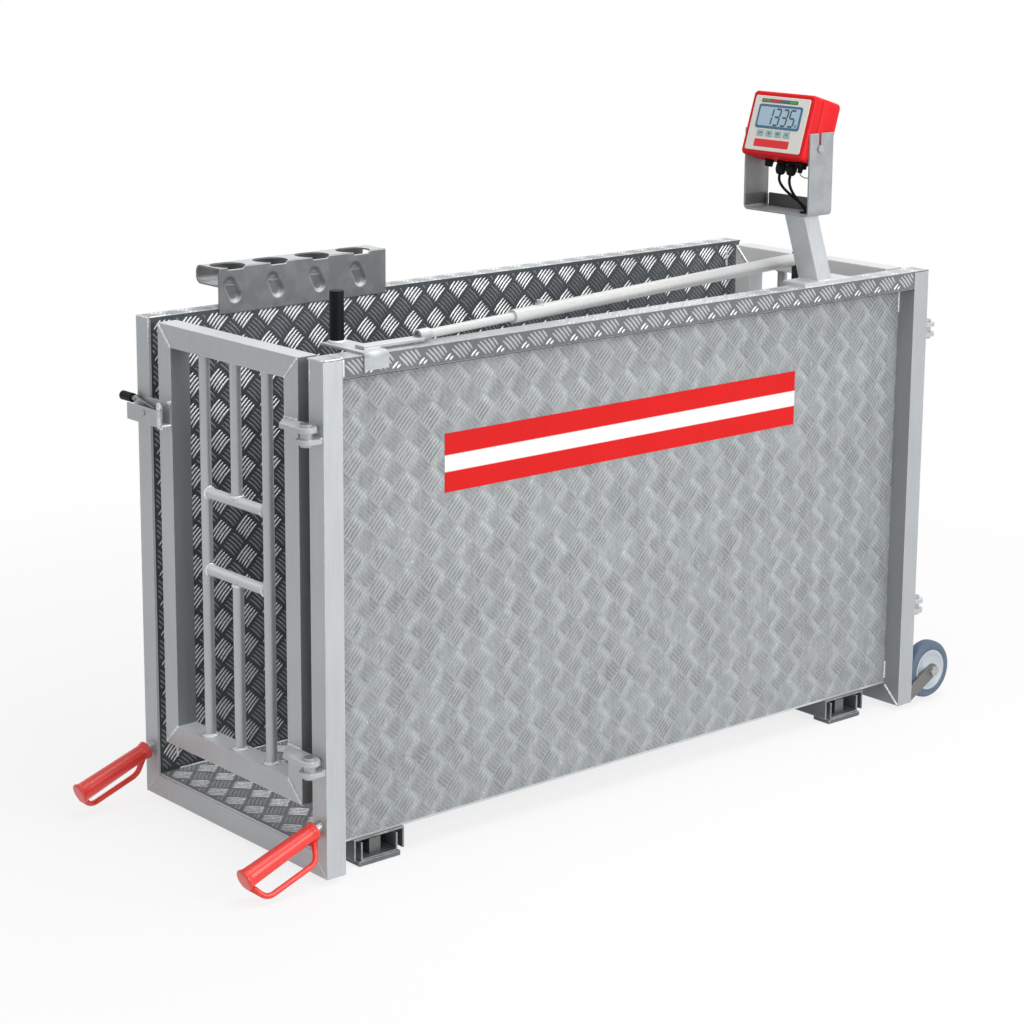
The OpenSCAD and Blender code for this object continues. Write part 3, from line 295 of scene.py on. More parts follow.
def reverse_sheet(name):
    """The back of a tread plate: flat, with the strokes showing faintly through as painted light and shade."""
    m = Mat(name, 0.44, 0.18)
    (ma, sa, ua), (mb, sb, ub) = quintet(m, 0.0026, 0.4, length=0.037, gap=0.0072, curve=2.4)
    strokes = m.add(ma, mb)
    patch = m.remap(m.noise(16, 3, 0.6), 0.36, 0.62, 0.35, 1.25)
    # painted shade and highlight on the strokes: one side of each stroke darker and the other lighter, the dents
    # darker, their upper ends lighter
    left = m.mul(sa, m.mul(patch, -0.12))
    right = m.mul(sb, m.mul(patch, 0.10))
    dent_shade = m.mul(strokes, m.mul(patch, -0.25))
    rim = m.mul(m.add(ua, ub), m.remap(m.noise(34, 3, 0.6), 0.36, 0.62, 0.16, 0.52))
    painted_relief = m.add(m.add(left, m.add(dent_shade, rim)), right)
    hatch = [m.remap(m.noise(190, 2, stretch=(1.0, 1.0, 0.14), tilt=tilt), 0.35, 0.65, -1.0, 1.0)
             for tilt in (0.7, -0.9)]
    pick = m.remap(m.noise(20, 2, 0.5), 0.46, 0.54, 0.0, 1.0)
    h = m.add(m.mul(hatch[0], pick), m.mul(hatch[1], m.sub(1.0, pick)))
    big = m.remap(m.noise(4.5, 4, 0.6), 0.3, 0.7, 0.95, 1.05)
    # painted glints on the strokes
    glint = m.remap(m.noise(130, 1, 0.4), 0.64, 0.74, 0.0, 0.34)
    v = m.add(m.add(big, m.add(painted_relief, m.mul(h, 0.075))), m.mul(glint, strokes))
    bump = m.add(m.mul(strokes, -1.0), m.mul(h, 0.12))
    return m.finish(m.shade(srgb("#9FA3A5"), v), m.remap(h, -1, 1, 0.38, 0.5), bump, 0.6, 0.0012)


def satin(name, col="#BDC1C4", side_shading=None):
    return metal(name, col, 0.40, 0.22, 0.06, 0.035, 0.0026, (1, 1, 0.05), edge_highlight=0.8, sky_reflection=0.45, side_shading=side_shading)


# Most metals below carry a painted highlight along their edges, and several carry a painted sky reflection on faces
# that look up. The dark galvanised steel has the widest edge highlight.
alu = satin("satin_aluminium")
# Lit and shaded copies of the satin aluminium: painted shade on the near gate's faces that look -Y, and painted
# light on the far gate's faces that look -X. The far frame is a darker copy with painted shade on its faces that
# look -X, and the mast has painted light on its faces that look -X.
alu_near_gate_shaded = satin("satin_aluminium_near_gate_shaded", side_shading=(1, -1.0, 0.7, "#74787A"))
alu_far_gate_lit = satin("satin_aluminium_far_gate_lit", side_shading=(0, -1.0, 0.9, "#FBFCFC"))
alu_far_shaded = satin("satin_aluminium_far_shaded", "#ABAFB2", side_shading=(0, -1.0, 0.6, "#7C8083"))
alu_mast_lit = metal("satin_aluminium_mast_lit", "#C0C3C6", 0.42, 0.2, 0.10, 0.05, 0.0026, (1, 1, 0.3), edge_highlight=0.8,
                 sky_reflection=0.45, side_shading=(0, -1.0, 0.8, "#DADDDF"))
# the round bars get a full-strength painted sky reflection on their upper halves
alu_bar = metal("aluminium_bar_sky_lit", "#C3C6C8", 0.34, 0.3, 0.05, 0.03, sky_reflection=1.0)
alu_plate = metal("cut_aluminium_plate", "#B6BABC", 0.42, 0.3, 0.07, 0.06, 0.0012, (0.2, 1, 1), edge_highlight=0.9, sky_reflection=0.6)
weld = metal("weld_bead", "#E6E8E8", 0.24, 0.3, 0.30, 0.24, sky_reflection=0.6)
galv = metal("galvanised_sheet", "#7E8184", 0.48, 0.25, 0.07, 0.03, 0.0012, spots=0.10, edge_highlight=0.9,
             highlight_col="#D6D8D9", sky_reflection=0.55)
galv_light = metal("galvanised_bracket", "#9B9EA0", 0.45, 0.25, 0.08, 0.03, 0.0012, spots=0.06, edge_highlight=0.9,
                   highlight_col="#E2E4E4", highlight_width=1.6)
galv_dark = metal("galvanised_dark", "#666A6E", 0.5, 0.25, 0.12, 0.05, 0.0014, spots=0.08, edge_highlight=1.0,
                  highlight_col="#DFE1E2", highlight_width=2.2)
galv_back = metal("galvanised_shaded", "#6A6E6E", 0.5, 0.25, 0.12, 0.05, 0.0012, edge_highlight=0.8)
zinc = metal("zinc_plated", "#ABADAE", 0.3, 0.5, 0.10, 0.05, 0.0010, edge_highlight=0.6)
flat_bar = metal("flat_bar", "#737271", 0.48, 0.3, 0.12, 0.06, 0.0010, (0.3, 1, 1), edge_highlight=0.5)
white_rod = metal("off_white_rod", "#CFD0CF", 0.34, 0.2, 0.05, 0.04)
saddle_mat = metal("saddle_plate", "#AEB2B4", 0.5, 0.25, 0.12, 0.08, 0.0016, (0.2, 1, 1), edge_highlight=1.0, sky_reflection=0.45)
cell_metal = metal("nickel_plated", "#6E6F6E", 0.35, 0.5, 0.05, 0.04, 0.0008, (0.1, 1, 1))
dark_steel = metal("black_steel", "#2E2F31", 0.45, 0.2, 0.10, 0.08, 0.0010)

red_shell = plastic("red_housing", "#D9101A", 0.5, 700, 0.05, 0.03, 0.0025, specular=0.28)
red_grip = plastic("red_grip", "#EF352B", 0.34, 500, 0.06, 0.04, coat=0.35)
black = plastic("black_plastic", "#0B0C0F", 0.5, 600, 0.15, 0.15, 0.0008, specular=0.15)
rubber = plastic("black_rubber", "#101011", 0.62, 800, 0.2, 0.2, specular=0.15)
# painted shadow: the dark strip under the lip
lip_shadow_paint = plastic("painted_lip_shadow", "#37393B", 0.6, 300, 0.5, 0.3)
panel = plastic("off_white_panel", "#E6E5DF", 0.42, 1200, 0.03, 0.015)
key_mat = plastic("key_rubber", "#A5BCBC", 0.5, 900, 0.08, 0.03, 0.0006)
grey_box = plastic("grey_box", "#8A8F94", 0.5, 600, 0.1, 0.05, 0.0012)
board = plastic("green_board", "#1E6B3A", 0.4, 300, 0.2, 0.15, 0.0012)
tyre_mat = plastic("slate_tyre", "#56697D", 0.55, 500, 0.15, 0.08)
hub_mat = plastic("hub_plastic", "#BDC3CA", 0.45, 500, 0.06, 0.04, 0.0008)
lcd_frame = plastic("lcd_frame", "#3F6B8C", 0.35, 900, 0.03, 0.03, 0.0005)
lcd = plastic("lcd_window", "#A9C4D6", 0.22, 900, 0.01, 0.02, coat=0.4)
segment = plastic("lcd_segment", "#2A3E4F", 0.4, strength=0.01)
led_dark = plastic("led_strip", "#4A4A4E", 0.3)
label_red = plastic("label_red", "#E8262B", 0.4, amount=0.03)
key_mark = plastic("key_mark", "#4C6266", 0.5)

# The tread plate's tones are painted light and shade, set by which way each face looks. The dark ground of the
# inner walls and of the lip is painted shade. The ground of the floor and of the flange tops is painted light. Of
# each surface's two sets of bars, one is painted as highlight and the other half-lit.
sheet_in_shade = metal("tread_plate_ground_shade", "#54595D", 0.42, 0.25, 0.14, 0.08)
bar_highlight = metal("tread_bar_highlight", "#F1F2F2", 0.3, 0.3, 0.06, 0.05)
bar_half_lit = metal("tread_bar_half_lit", "#8F9498", 0.36, 0.35, 0.12, 0.10)
floor_ground_lit = metal("floor_ground_lit", "#9A9DA1", 0.4, 0.3, 0.14, 0.08)
floor_highlight = metal("floor_bar_highlight", "#FFFFFF", 0.26, 0.2, 0.04, 0.04)
floor_half_lit = metal("floor_bar_half_lit", "#CBCDCF", 0.34, 0.35, 0.12, 0.10)
sheet_out = reverse_sheet("tread_plate_back")
tread_top_lit = metal("flange_ground_lit", "#C4C7C8", 0.38, 0.25, 0.10, 0.08, 0.0012, edge_highlight=0.8)
tread_lip_shade = metal("lip_ground_shade", "#6A6E71", 0.4, 0.25, 0.12, 0.08, 0.0016, edge_highlight=1.0)
lip_highlight = metal("lip_bar_highlight", "#CBCECF", 0.3, 0.25, 0.06, 0.05)
lip_half_lit = metal("lip_bar_half_lit", "#B9BCBE", 0.34, 0.3, 0.10, 0.08)
flange_highlight = metal("flange_bar_highlight", "#F4F5F5", 0.3, 0.2, 0.05, 0.04)
flange_half_lit = metal("flange_bar_half_lit", "#A9ACAE", 0.34, 0.3, 0.12, 0.10)
plain_edge = metal("sheet_edge", "#C9CCCE", 0.4, 0.5, 0.05, 0.05)


def banner_material():
    """Red film with a plain white band, pressed over the sheet's strokes."""
    m = Mat("banner_film", 0.38)
    lo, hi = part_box("banner")
    v = m.div(m.sub(m.xyz()[2], lo.z), hi.z - lo.z)
    band = m.mul(m.remap(v, 0.34, 0.36, 0, 1), m.remap(v, 0.62, 0.64, 1, 0))
    m.put(m.b.inputs["Specular IOR Level"], 0.15)
    c = m.mix(band, srgb("#D61A19"), srgb("#F2F1EF"))
    c = m.shade(c, m.remap(m.noise(9, 3, 0.5), 0.3, 0.7, 0.97, 1.03))
    (a, _, _), (b, _, _) = quintet(m, 0.0016, 0.6)
    return m.finish(c, m.remap(m.noise(60, 3, 0.5), 0.3, 0.7, 0.3, 0.42), m.mul(m.add(a, b), -1.0), 0.25, 0.0006)


def paint_by(name, rules):
    """rules: (material, test(normal, centre)) in order; the first test that holds wins."""
    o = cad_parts[name]
    o.data.materials.clear()
    for mat, _ in rules:
        o.data.materials.append(mat)
    for p in o.data.polygons:
        p.material_index = next(i for i, (_, test) in enumerate(rules) if test(p.normal, p.center))


def everywhere(normal, centre):
    return True


for names, mat in (
        ("near_end_frame", alu), ("mast", alu_mast_lit), ("far_end_frame", alu_far_shaded),
        ("front_gate_frame", alu_near_gate_shaded), ("rear_gate_frame", alu_far_gate_lit),
        ("front_gate_bars rear_gate_bars", alu_bar),
        ("hinge_post_plates front_gate_straps rear_gate_straps latch_bracket", alu_plate),
        ("marker_rack", galv), ("indicator_bracket", galv_light),
        ("cross_channels base_channels foot_plates slot_plate", galv_dark),
        ("load_cells", cell_metal),
        ("load_cell_bolts wheel_axles hinge_pins latch_stud latch_pivot latch_lever", zinc),
        ("rod_clamp tilt_screws handle_stubs", zinc),
        ("wheel_brackets", flat_bar), ("slide_saddle slide_bar", saddle_mat),
        ("push_rod rod_tube", white_rod), ("drop_link", dark_steel),
        ("slide_grip latch_grip cable_glands", black),
        ("load_cell_cables signal_cable cable_grommet indicator_leads", rubber),
        ("junction_box", grey_box), ("right_grip left_grip", red_grip),
        ("indicator_front indicator_back", red_shell), ("indicator_panel", panel),
        ("display", lcd_frame), ("circuit_board", board), ("key_1 key_2 key_3 key_4", key_mat),
        ("right_tyre left_tyre", tyre_mat), ("right_hub left_hub", hub_mat),
        ("banner", banner_material())):
    for name in names.split():
        paint_by(name, [(mat, everywhere)])

for name, sgn in (("right_side_wall", -1), ("left_side_wall", 1)):
    outer_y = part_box(name)[0].y if sgn < 0 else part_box(name)[1].y
    # the side walls' faces take the tread plate's painted light and shade tones by which way they look
    paint_by(name, [
        (tread_top_lit, lambda n, c: abs(n.z) > 0.7 and c.z > 0.85),
        (tread_lip_shade, lambda n, c: n.y * sgn > 0.7 and abs(c.y - outer_y) < 0.002),
        (sheet_out, lambda n, c: n.y * sgn > 0.7),
        (sheet_in_shade, lambda n, c: n.y * sgn < -0.7),
        (plain_edge, everywhere)])
# the floor's top takes the tread plate's painted light tone
paint_by("floor_plate", [(floor_ground_lit, lambda n, c: n.z > 0.7), (sheet_out, lambda n, c: n.z < -0.7),
                         (plain_edge, everywhere)])


# -------- mesh helpers
def bare_object(name, bm):
    me = bpy.data.meshes.new(name)
    bm.to_mesh(me)
    bm.free()
    return linked(name, me)


def dress(o, mat, body, smooth=None):
    """smooth is a yes or no for every face, or a test of one face."""
    if smooth is not None:
        for p in o.data.polygons:
            p.use_smooth = smooth(p) if callable(smooth) else smooth
    o.data.materials.append(mat)
    if body:
        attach(o, body)
    return o


def new_object(name, bm, mat, body, smooth=True):
    return dress(bare_object(name, bm), mat, body, smooth)


def true_normals(bm):
    bmesh.ops.recalc_face_normals(bm, faces=bm.faces[:])


def skin(bm, loops):
    """Quads between neighbouring loops of vertices, and a cap on both ends."""
    n = len(loops[0])
    for a, b in zip(loops, loops[1:]):
        for i in range(n):
            j = (i + 1) % n
            bm.faces.new((a[i], a[j], b[j], b[i]))
    bm.faces.new(loops[0][::-1])
    bm.faces.new(loops[-1])


def bm_box(bm, lo, hi, bevel=0.0, seg=2, matrix=None):
    vs = bmesh.ops.create_cube(bm, size=1)["verts"]
    lo, hi = Vector(lo), Vector(hi)
    for v in vs:
        v.co = Vector([lo[i] + (v.co[i] + 0.5) * (hi[i] - lo[i]) for i in range(3)])
    if bevel:
        es = list({e for v in vs for e in v.link_edges})
        r = bmesh.ops.bevel(bm, geom=es, offset=bevel, segments=seg, affect="EDGES", profile=0.5)
        vs = list({v for v in r["verts"]} | {v for v in vs if v.is_valid})
    if matrix is not None:
        bmesh.ops.transform(bm, matrix=matrix, verts=list(set(vs)))


def revolve(bm, profile, steps, matrix, closed=False):
    """profile: (radius, height) pairs in mm, turned round local Z."""
    rings = []
    for i in range(steps):
        a = 2 * pi * i / steps
        rings.append([bm.verts.new(matrix @ (Vector((r * cos(a), r * sin(a), h)) / 1000))
                      for r, h in profile])
    n = len(profile)
    for i in range(steps):
        p, q = rings[i], rings[(i + 1) % steps]
        for j in range(n if closed else n - 1):
            k = (j + 1) % n
            bm.faces.new((p[j], q[j], q[k], p[k]))
    if not closed:
        bm.faces.new([ring[0] for ring in rings][::-1])
        bm.faces.new([ring[-1] for ring in rings])


def tube(bm, pts, rads, sides, spin=0.0):
    """A capped tube along the points, with a radius for each point."""
    pts = [Vector(p) for p in pts]
    rings = []
    prev = None
    for i, p in enumerate(pts):
        t = (pts[min(i + 1, len(pts) - 1)] - pts[max(i - 1, 0)]).normalized()
        if prev is None:
            s = t.cross(Vector((0, 0, 1) if abs(t.z) < 0.9 else (1, 0, 0))).normalized()
        else:
            s = (prev - t * prev.dot(t)).normalized()
        prev = s
        w = t.cross(s)
        r = rads[i]
        rings.append([bm.verts.new(p + (s * cos(2 * pi * k / sides + spin)
                                        + w * sin(2 * pi * k / sides + spin)) * r)
                      for k in range(sides)])
    skin(bm, rings)


def smooth_path(pts, n):
    """Catmull-Rom curve through the points."""
    pts = [Vector(p) for p in pts]
    ext = [pts[0] * 2 - pts[1]] + pts + [pts[-1] * 2 - pts[-2]]
    out = []
    segs = len(pts) - 1
    per = max(2, n // segs)
    for i in range(segs):
        p0, p1, p2, p3 = ext[i:i + 4]
        for k in range(per):
            t = k / per
            out.append(0.5 * ((2 * p1) + (p2 - p0) * t + (2 * p0 - 5 * p1 + 4 * p2 - p3) * t * t
                              + (3 * p1 - p0 - 3 * p2 + p3) * t ** 3))
    out.append(pts[-1])
    return out


def round_path(pts, rad, n):
    """Straight legs with rounded corners."""
    pts = [Vector(p) for p in pts]
    out = [pts[0]]
    for a, b, c in zip(pts, pts[1:], pts[2:]):
        m = min(rad, (a - b).length * 0.45, (c - b).length * 0.45)
        p, q = b + (a - b).normalized() * m, b + (c - b).normalized() * m
        for k in range(n + 1):
            t = k / n
            out.append(p * (1 - t) ** 2 + b * 2 * t * (1 - t) + q * t * t)
    out.append(pts[-1])
    return out


def bead(bm, a, b, w, step=None):
    """A rippled weld bead of radius w, from a to b, all in mm."""
    a, b, w = W(*a), W(*b), w / 1000
    n = max(4, int((b - a).length / (step / 1000 if step else w * 0.8)) * 2)
    rads = [w * (1.0 if i % 2 else 0.78) * rng.uniform(0.88, 1.1) * (0.5 if i in (0, n) else 1)
            for i in range(n + 1)]
    tube(bm, [a.lerp(b, i / n) for i in range(n + 1)], rads, 8, 0.2)


def ring(bm, x, y, z, radius, w, standing=False):
    """A bead round a bar that stands, or that lies along y."""
    pts, w = [], w / 1000
    for i in range(25):
        a = 2 * pi * i / 24
        c, s = radius * cos(a), radius * sin(a)
        pts.append(W(x + c, y, z + s) if standing else W(x + c, y + s, z))
    tube(bm, pts, [w * rng.uniform(0.75, 1.15) for _ in pts], 6)


# -------- raised tread bars
def tread_bars(name, mats, u_range, v_range, place, keep=None, shortest=6.0):
    """Raised bars in groups of five. place(u, v, h) gives a point from the plane's mm and the height."""
    pitch, length, width, high, gap, margin, sunk = 57.0, 38.5, 4.2, 1.2, 7.1, 2.8, -0.05
    stations = ((-1.0, 0.0, 0.0), (-0.72, 0.78, 0.85), (0.0, 1.0, 1.0), (0.72, 0.78, 0.85), (1.0, 0.0, 0.0))
    verts, faces, index = [], [], []
    q = sqrt(0.5)
    cells = [range(int(r[0] // pitch), int(r[0] // pitch) + int((r[1] - r[0]) / pitch) + 3)
             for r in (u_range, v_range)]
    for i, j, kind, k in ((i, j, kind, k) for i in cells[0] for j in cells[1] for kind in (0, 1)
                          for k in (-2, -1, 0, 1, 2)):
        du, dv = (q, q) if kind == 0 else (-q, q)
        au, av = -dv, du
        pu = (i + kind * 0.5) * pitch + au * k * gap
        pv = (j + kind * 0.5) * pitch + av * k * gap
        s0, s1 = -length / 2, length / 2
        for c, d, (r0, r1) in ((pu, du, u_range), (pv, dv, v_range)):
            e0, e1 = sorted(((r0 + margin - c) / d, (r1 - margin - c) / d))
            s0, s1 = max(s0, e0), min(s1, e1)
        if s1 - s0 < shortest or (keep and not keep(pu, pv)):
            continue
        left, right, ridge = [], [], []
        for t, half_w, top in stations:
            along = s0 + (t + 1) / 2 * (s1 - s0)
            bend = ((2 * along / length) ** 2 - 0.4) * 1.3 * (1 if kind == 0 else -1)
            su, sv = pu + du * along - au * bend, pv + dv * along - av * bend
            if half_w == 0:
                for store in (left, right, ridge):
                    store.append(len(verts))
                verts.append(place(su, sv, sunk))
                continue
            for side, store in ((1, left), (-1, right)):
                store.append(len(verts))
                verts.append(place(su + au * side * half_w * width / 2, sv + av * side * half_w * width / 2, sunk))
            ridge.append(len(verts))
            verts.append(place(su, sv, high * top))
        for n in range(4):
            for a, b in ((left, ridge), (ridge, right)):
                faces.append(list(dict.fromkeys((a[n], a[n + 1], b[n + 1], b[n]))))
        faces.append(right + left[-2:0:-1])
        index += [kind] * 9
    me = bpy.data.meshes.new(name)
    me.from_pydata(verts, [], faces)
    for mat in mats:
        me.materials.append(mat)
    me.polygons.foreach_set("material_index", index)
    bm = bmesh.new()
    bm.from_mesh(me)
    true_normals(bm)
    bm.to_mesh(me)
    bm.free()
    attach(linked(name, me), "crate")


WALL_U, WALL_V, LIP_U, LIP_V, FLANGE_V = -24.1, -20.0, 39.3, 14.0, -7.0
# on each surface below, one set of bars is painted as highlight and the other half-lit
wall = ((bar_highlight, bar_half_lit), (3.5 - WALL_U, 1496.5 - WALL_U), (57 - WALL_V, 907 - WALL_V))
tread_bars("left_wall_tread", *wall, lambda a, b, h: W(a + WALL_U, WIDTH - SHEET_Y - h, b + WALL_V))
tread_bars("right_wall_tread", *wall, lambda a, b, h: W(a + WALL_U, SHEET_Y + h, b + WALL_V),
           keep=lambda a, b: not (a < 450 and b > 880))
lip = ((lip_highlight, lip_half_lit), (42 - LIP_U, 1458 - LIP_U), (877 - LIP_V, 910.5 - LIP_V))
tread_bars("right_lip_tread", *lip, lambda a, b, h: W(a + LIP_U, -h * 0.8, b + LIP_V), shortest=11.0)
tread_bars("left_lip_tread", *lip, lambda a, b, h: W(a + LIP_U, WIDTH + h * 0.8, b + LIP_V), shortest=11.0)


def on_flange(a, b, h):
    return W(a + LIP_U, b + FLANGE_V, TOP + h * 0.8)


flange = ((flange_highlight, flange_half_lit), (1 - LIP_U, 1499 - LIP_U))
tread_bars("right_flange_tread", *flange, (0.5 - FLANGE_V, 42.5 - FLANGE_V), on_flange,
           keep=lambda a, b: a + LIP_U > 535 and not 1120 < a + LIP_U < 1300)
tread_bars("left_flange_tread", *flange, (517.5 - FLANGE_V, 559.5 - FLANGE_V), on_flange)
floor_lo, floor_hi = mm_box("floor_plate")
floor_z = floor_hi.z
tread_bars("floor_tread", (floor_half_lit, floor_highlight), (floor_lo.x + 4, floor_hi.x - 4),
           (floor_lo.y + 4, floor_hi.y - 4), lambda a, b, h: W(a, b, floor_z + h))


# -------- welds
def gate_welds(x_out, x_in, name, body):
    bm = bmesh.new()
    (y0, y1), (z0, z1) = GATE_Y, GATE_Z
    for x in (x_out, x_in):
        for y, z, sy, sz in ((y0, z0, 1, 1), (y1, z0, -1, 1), (y0, z1, 1, -1), (y1, z1, -1, -1)):
            bead(bm, (x, y + 2 * sy, z + 2 * sz), (x, y + TUBE * sy, z + TUBE * sz), 2.8)
    for y in GATE_Y:
        bead(bm, (x_out, y, z0), (x_in, y, z0), 1.6)
    xm, ym = (x_out + x_in) / 2, WIDTH / 2
    for y in (ym - BAR_GAP, ym, ym + BAR_GAP):
        for z, s in ((z0 + TUBE, 1), (z1 - TUBE, -1)):
            ring(bm, xm, y, z, 12.4, 3.6)
            ring(bm, xm, y, z + 2.6 * s, 10.4, 2.2)
    for z in (CROSS_Z[0] - BAR_R, CROSS_Z[1] + BAR_R):
        ring(bm, xm, ym, z, BAR_R, 3)
    for z in CROSS_Z:
        for y in (ym - BAR_GAP + BAR_R, ym + BAR_GAP - BAR_R):
            ring(bm, xm, y, z, 10.3, 2.6, standing=True)
    new_object(name, bm, weld, body)


gate_welds(0, TUBE, "front_gate_welds", "front_gate")
gate_welds(LENGTH, LENGTH - TUBE, "rear_gate_welds", "rear_gate")

# mitred feet and rails of the end frames
bm = bmesh.new()
for x, xi in ((0, TUBE), (LENGTH, LENGTH - TUBE)):
    for yo, yi in ((2, TUBE), (WIDTH - 2, WIDTH - TUBE)):
        bead(bm, (x, yo, 13), (x, yi, 51), 1.1)
    for y in (TUBE, WIDTH - TUBE):
        bead(bm, (x, y, 52), (xi, y, 52), 1.6)
# floor edge tabs on the rails
for x in (6, LENGTH - 6):
    for y in range(70, 491, 84):
        bead(bm, (x, y, 52.5), (x, y + 26, 52.5), 1.9)
# floor to the side sheets
for y in (SHEET_Y + 2, WIDTH - SHEET_Y - 2):
    bead(bm, (44, y, floor_z + 1), (1456, y, floor_z + 1), 2.6, 6)
# post plates of the hinges
for x in (-0.5, LENGTH + 0.5):
    for z in HINGE_Z:
        bead(bm, (x, 3, z - 20), (x, 37, z - 20), 1.6)
        bead(bm, (x, 3, z - 12), (x, 37, z - 12), 2.8)
# side sheets to the posts
for y in (SHEET_Y + 0.4, WIDTH - SHEET_Y - 0.4):
    for x in (TUBE + 1.2, LENGTH - TUBE - 1.2):
        for z in (95, 289, 487, 730, 875):
            bead(bm, (x, y, z - 16), (x, y, z + 16), 3)
new_object("frame_welds", bm, weld, "crate")

for side, x in (("front", -0.3), ("rear", LENGTH + 0.3)):
    bm = bmesh.new()
    if side == "front":
        # the latch bracket, with a row of drops down its outer edge
        lo, hi = mm_box("latch_bracket")
        y = lo.y + 1
        for a, b in (((lo.x + 1, y, hi.z), (lo.x + 1, y, lo.z)), ((lo.x + 1, y, lo.z), (-1, y, lo.z)),
                     ((-8, y, hi.z), (-1, y, hi.z))):
            bead(bm, a, b, 5.8, 5)
        drops = 9
        for k in range(drops):
            z = lo.z + (hi.z - lo.z) * (k + 0.5) / drops
            c = W(lo.x + 2 + rng.uniform(-0.5, 0.5), lo.y + 4 + rng.uniform(-1, 1.5), z)
            revolve(bm, [(0.2, 3.4), (4, 2.8), (6.4, 0), (4, -2.8), (0.2, -3.4)], 12,
                    move(c) @ turn(QUARTER, "Y"))
    for z in HINGE_Z:
        bead(bm, (x, 71, z), (x, 109, z), 1.7)
        bead(bm, (x, 71, z + 8), (x, 109, z + 8), 3.2)
    new_object(side + "_strap_welds", bm, weld, side + "_gate")

# mast base
bm = bmesh.new()
for a, b in (((1183, 3.5), (1221, 3.5)), ((1183, 54.5), (1221, 54.5)),
             ((1182.5, 4), (1182.5, 54)), ((1221.5, 4), (1221.5, 54))):
    bead(bm, (*a, 919.5), (*b, 919.5), 1.8)
bead(bm, (1145, 0.4, 911.3), (1276, 0.4, 911.3), 1.2)
new_object("mast_welds", bm, weld, "crate")


# -------- red handle grips
def grip(name, node, mirror):
    slope = radians(20)
    m = move(W(0, 20, 103)) @ turn(pi - slope, "Y")
    if mirror:
        middle = W(0, WIDTH / 2, 0)
        m = move(middle) @ Matrix.Scale(-1, 4, (0, 1, 0)) @ move(-middle) @ m
    bm = bmesh.new()
    # rim at the post, neck, tapered hold and flared end
    prof = [(10.4, 0), (15.6, 0), (16.8, 1), (17, 2.4), (17, 4.2), (16.2, 5.4), (15.7, 6.2), (16, 7.4), (15.8, 9),
            (15, 10.2), (14.6, 11.6), (14.8, 20), (15.4, 55), (16.1, 95), (16.8, 135), (17.1, 146.5),
            (17.7, 149.8), (18.7, 152), (19.4, 153.8), (19.5, 155.6), (19, 157), (17.6, 157.8), (15, 158), (4, 158)]
    revolve(bm, prof, 64, m @ move((0.012, 0, 0)) @ turn(QUARTER, "Y"))
    # hand guard
    guard = m @ turn(radians(22), "X")
    reach = 0.048
    lean = reach * tan(slope)
    pts = round_path([(0.022, 0, 0.0125), (0.022 + lean, 0, reach), (0.165 - lean, 0, reach), (0.1645, 0, 0.0155)],
                     0.014, 10)
    rads = [0.0052] * len(pts)
    rads[0] = rads[-1] = 0.0064
    tube(bm, [guard @ p for p in pts], rads, 18)
    if mirror:
        bmesh.ops.reverse_faces(bm, faces=bm.faces[:])
    o = new_object(name, bm, red_grip, "crate")
    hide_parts(node)


grip("right_handle_grip", "right_grip", False)
grip("left_handle_grip", "left_grip", True)


# -------- folded sheet pieces
def extruded(outline, x0, x1, name):
    """A closed outline of (y, z) in mm, drawn from x0 to x1."""
    bm = bmesh.new()
    skin(bm, [[bm.verts.new(W(x, y, z)) for y, z in outline] for x in (x0, x1)])
    true_normals(bm)
    return bare_object(name, bm)


def folded(path, t, radius):
    """Outline of a sheet of thickness t that follows a path of (y, z) points with rounded folds."""
    mid = round_path([(y, z, 0) for y, z in path], radius, 7)
    left, right = [], []
    for i, p in enumerate(mid):
        d = (mid[min(i + 1, len(mid) - 1)] - mid[max(i - 1, 0)]).normalized()
        n = Vector((-d.y, d.x, 0)) * t / 2
        left.append(((p + n).x, (p + n).y))
        right.append(((p - n).x, (p - n).y))
    return left + right[::-1]


def cut(o, cutters):
    for c in cutters:
        md = o.modifiers.new("cut", "BOOLEAN")
        md.operation = "DIFFERENCE"
        md.solver = "EXACT"
        md.object = c
    dg = bpy.context.evaluated_depsgraph_get()
    dg.update()
    me = bpy.data.meshes.new_from_object(o.evaluated_get(dg))
    o.modifiers.clear()
    o.data = me
    for c in cutters:
        bpy.data.objects.remove(c)


def cylinder_cutter(centre, axis, radius, half, sides=64):
    bm = bmesh.new()
    aim = Vector((0, 0, 1)).rotation_difference(Vector(axis)).to_matrix().to_4x4()
    revolve(bm, [(radius, -half), (radius, half)], sides, move(centre) @ aim)
    true_normals(bm)
    return bare_object("cutter", bm)


def box_cutter(lo, hi):
    bm = bmesh.new()
    bm_box(bm, lo, hi)
    return bare_object("cutter", bm)


# marker rack: a folded tray with four pocket openings, and a front sheet
RACK_X, RACK_L, RACK_Y, RACK_Z = 150.0, 384.0, 514.0, 985.0
pockets = [RACK_X + (i + 0.5) * 96 - 10 for i in range(4)]
tray = extruded(folded([(RACK_Y + 0.2, RACK_Z - 1.5), (RACK_Y + 72.5, RACK_Z - 1.5),
                        (RACK_Y + 72.5, RACK_Z - 33.5), (RACK_Y + 3.2, RACK_Z - 33.5)], 3.0, 19.0),
                RACK_X, RACK_X + RACK_L, "rack_tray")
cut(tray, [cylinder_cutter(W(x, RACK_Y + 27.72, RACK_Z), (0, 0, 1), 33, 6) for x in pockets])


def rack_top(x):
    """Top of the front sheet: lower where a pocket breaks the edge."""
    top = RACK_Z
    for px in pockets:
        if abs(x - px) < 21:
            top = RACK_Z - 4.6 * min(1.0, (21 - abs(x - px)) / 4.0)
    return top


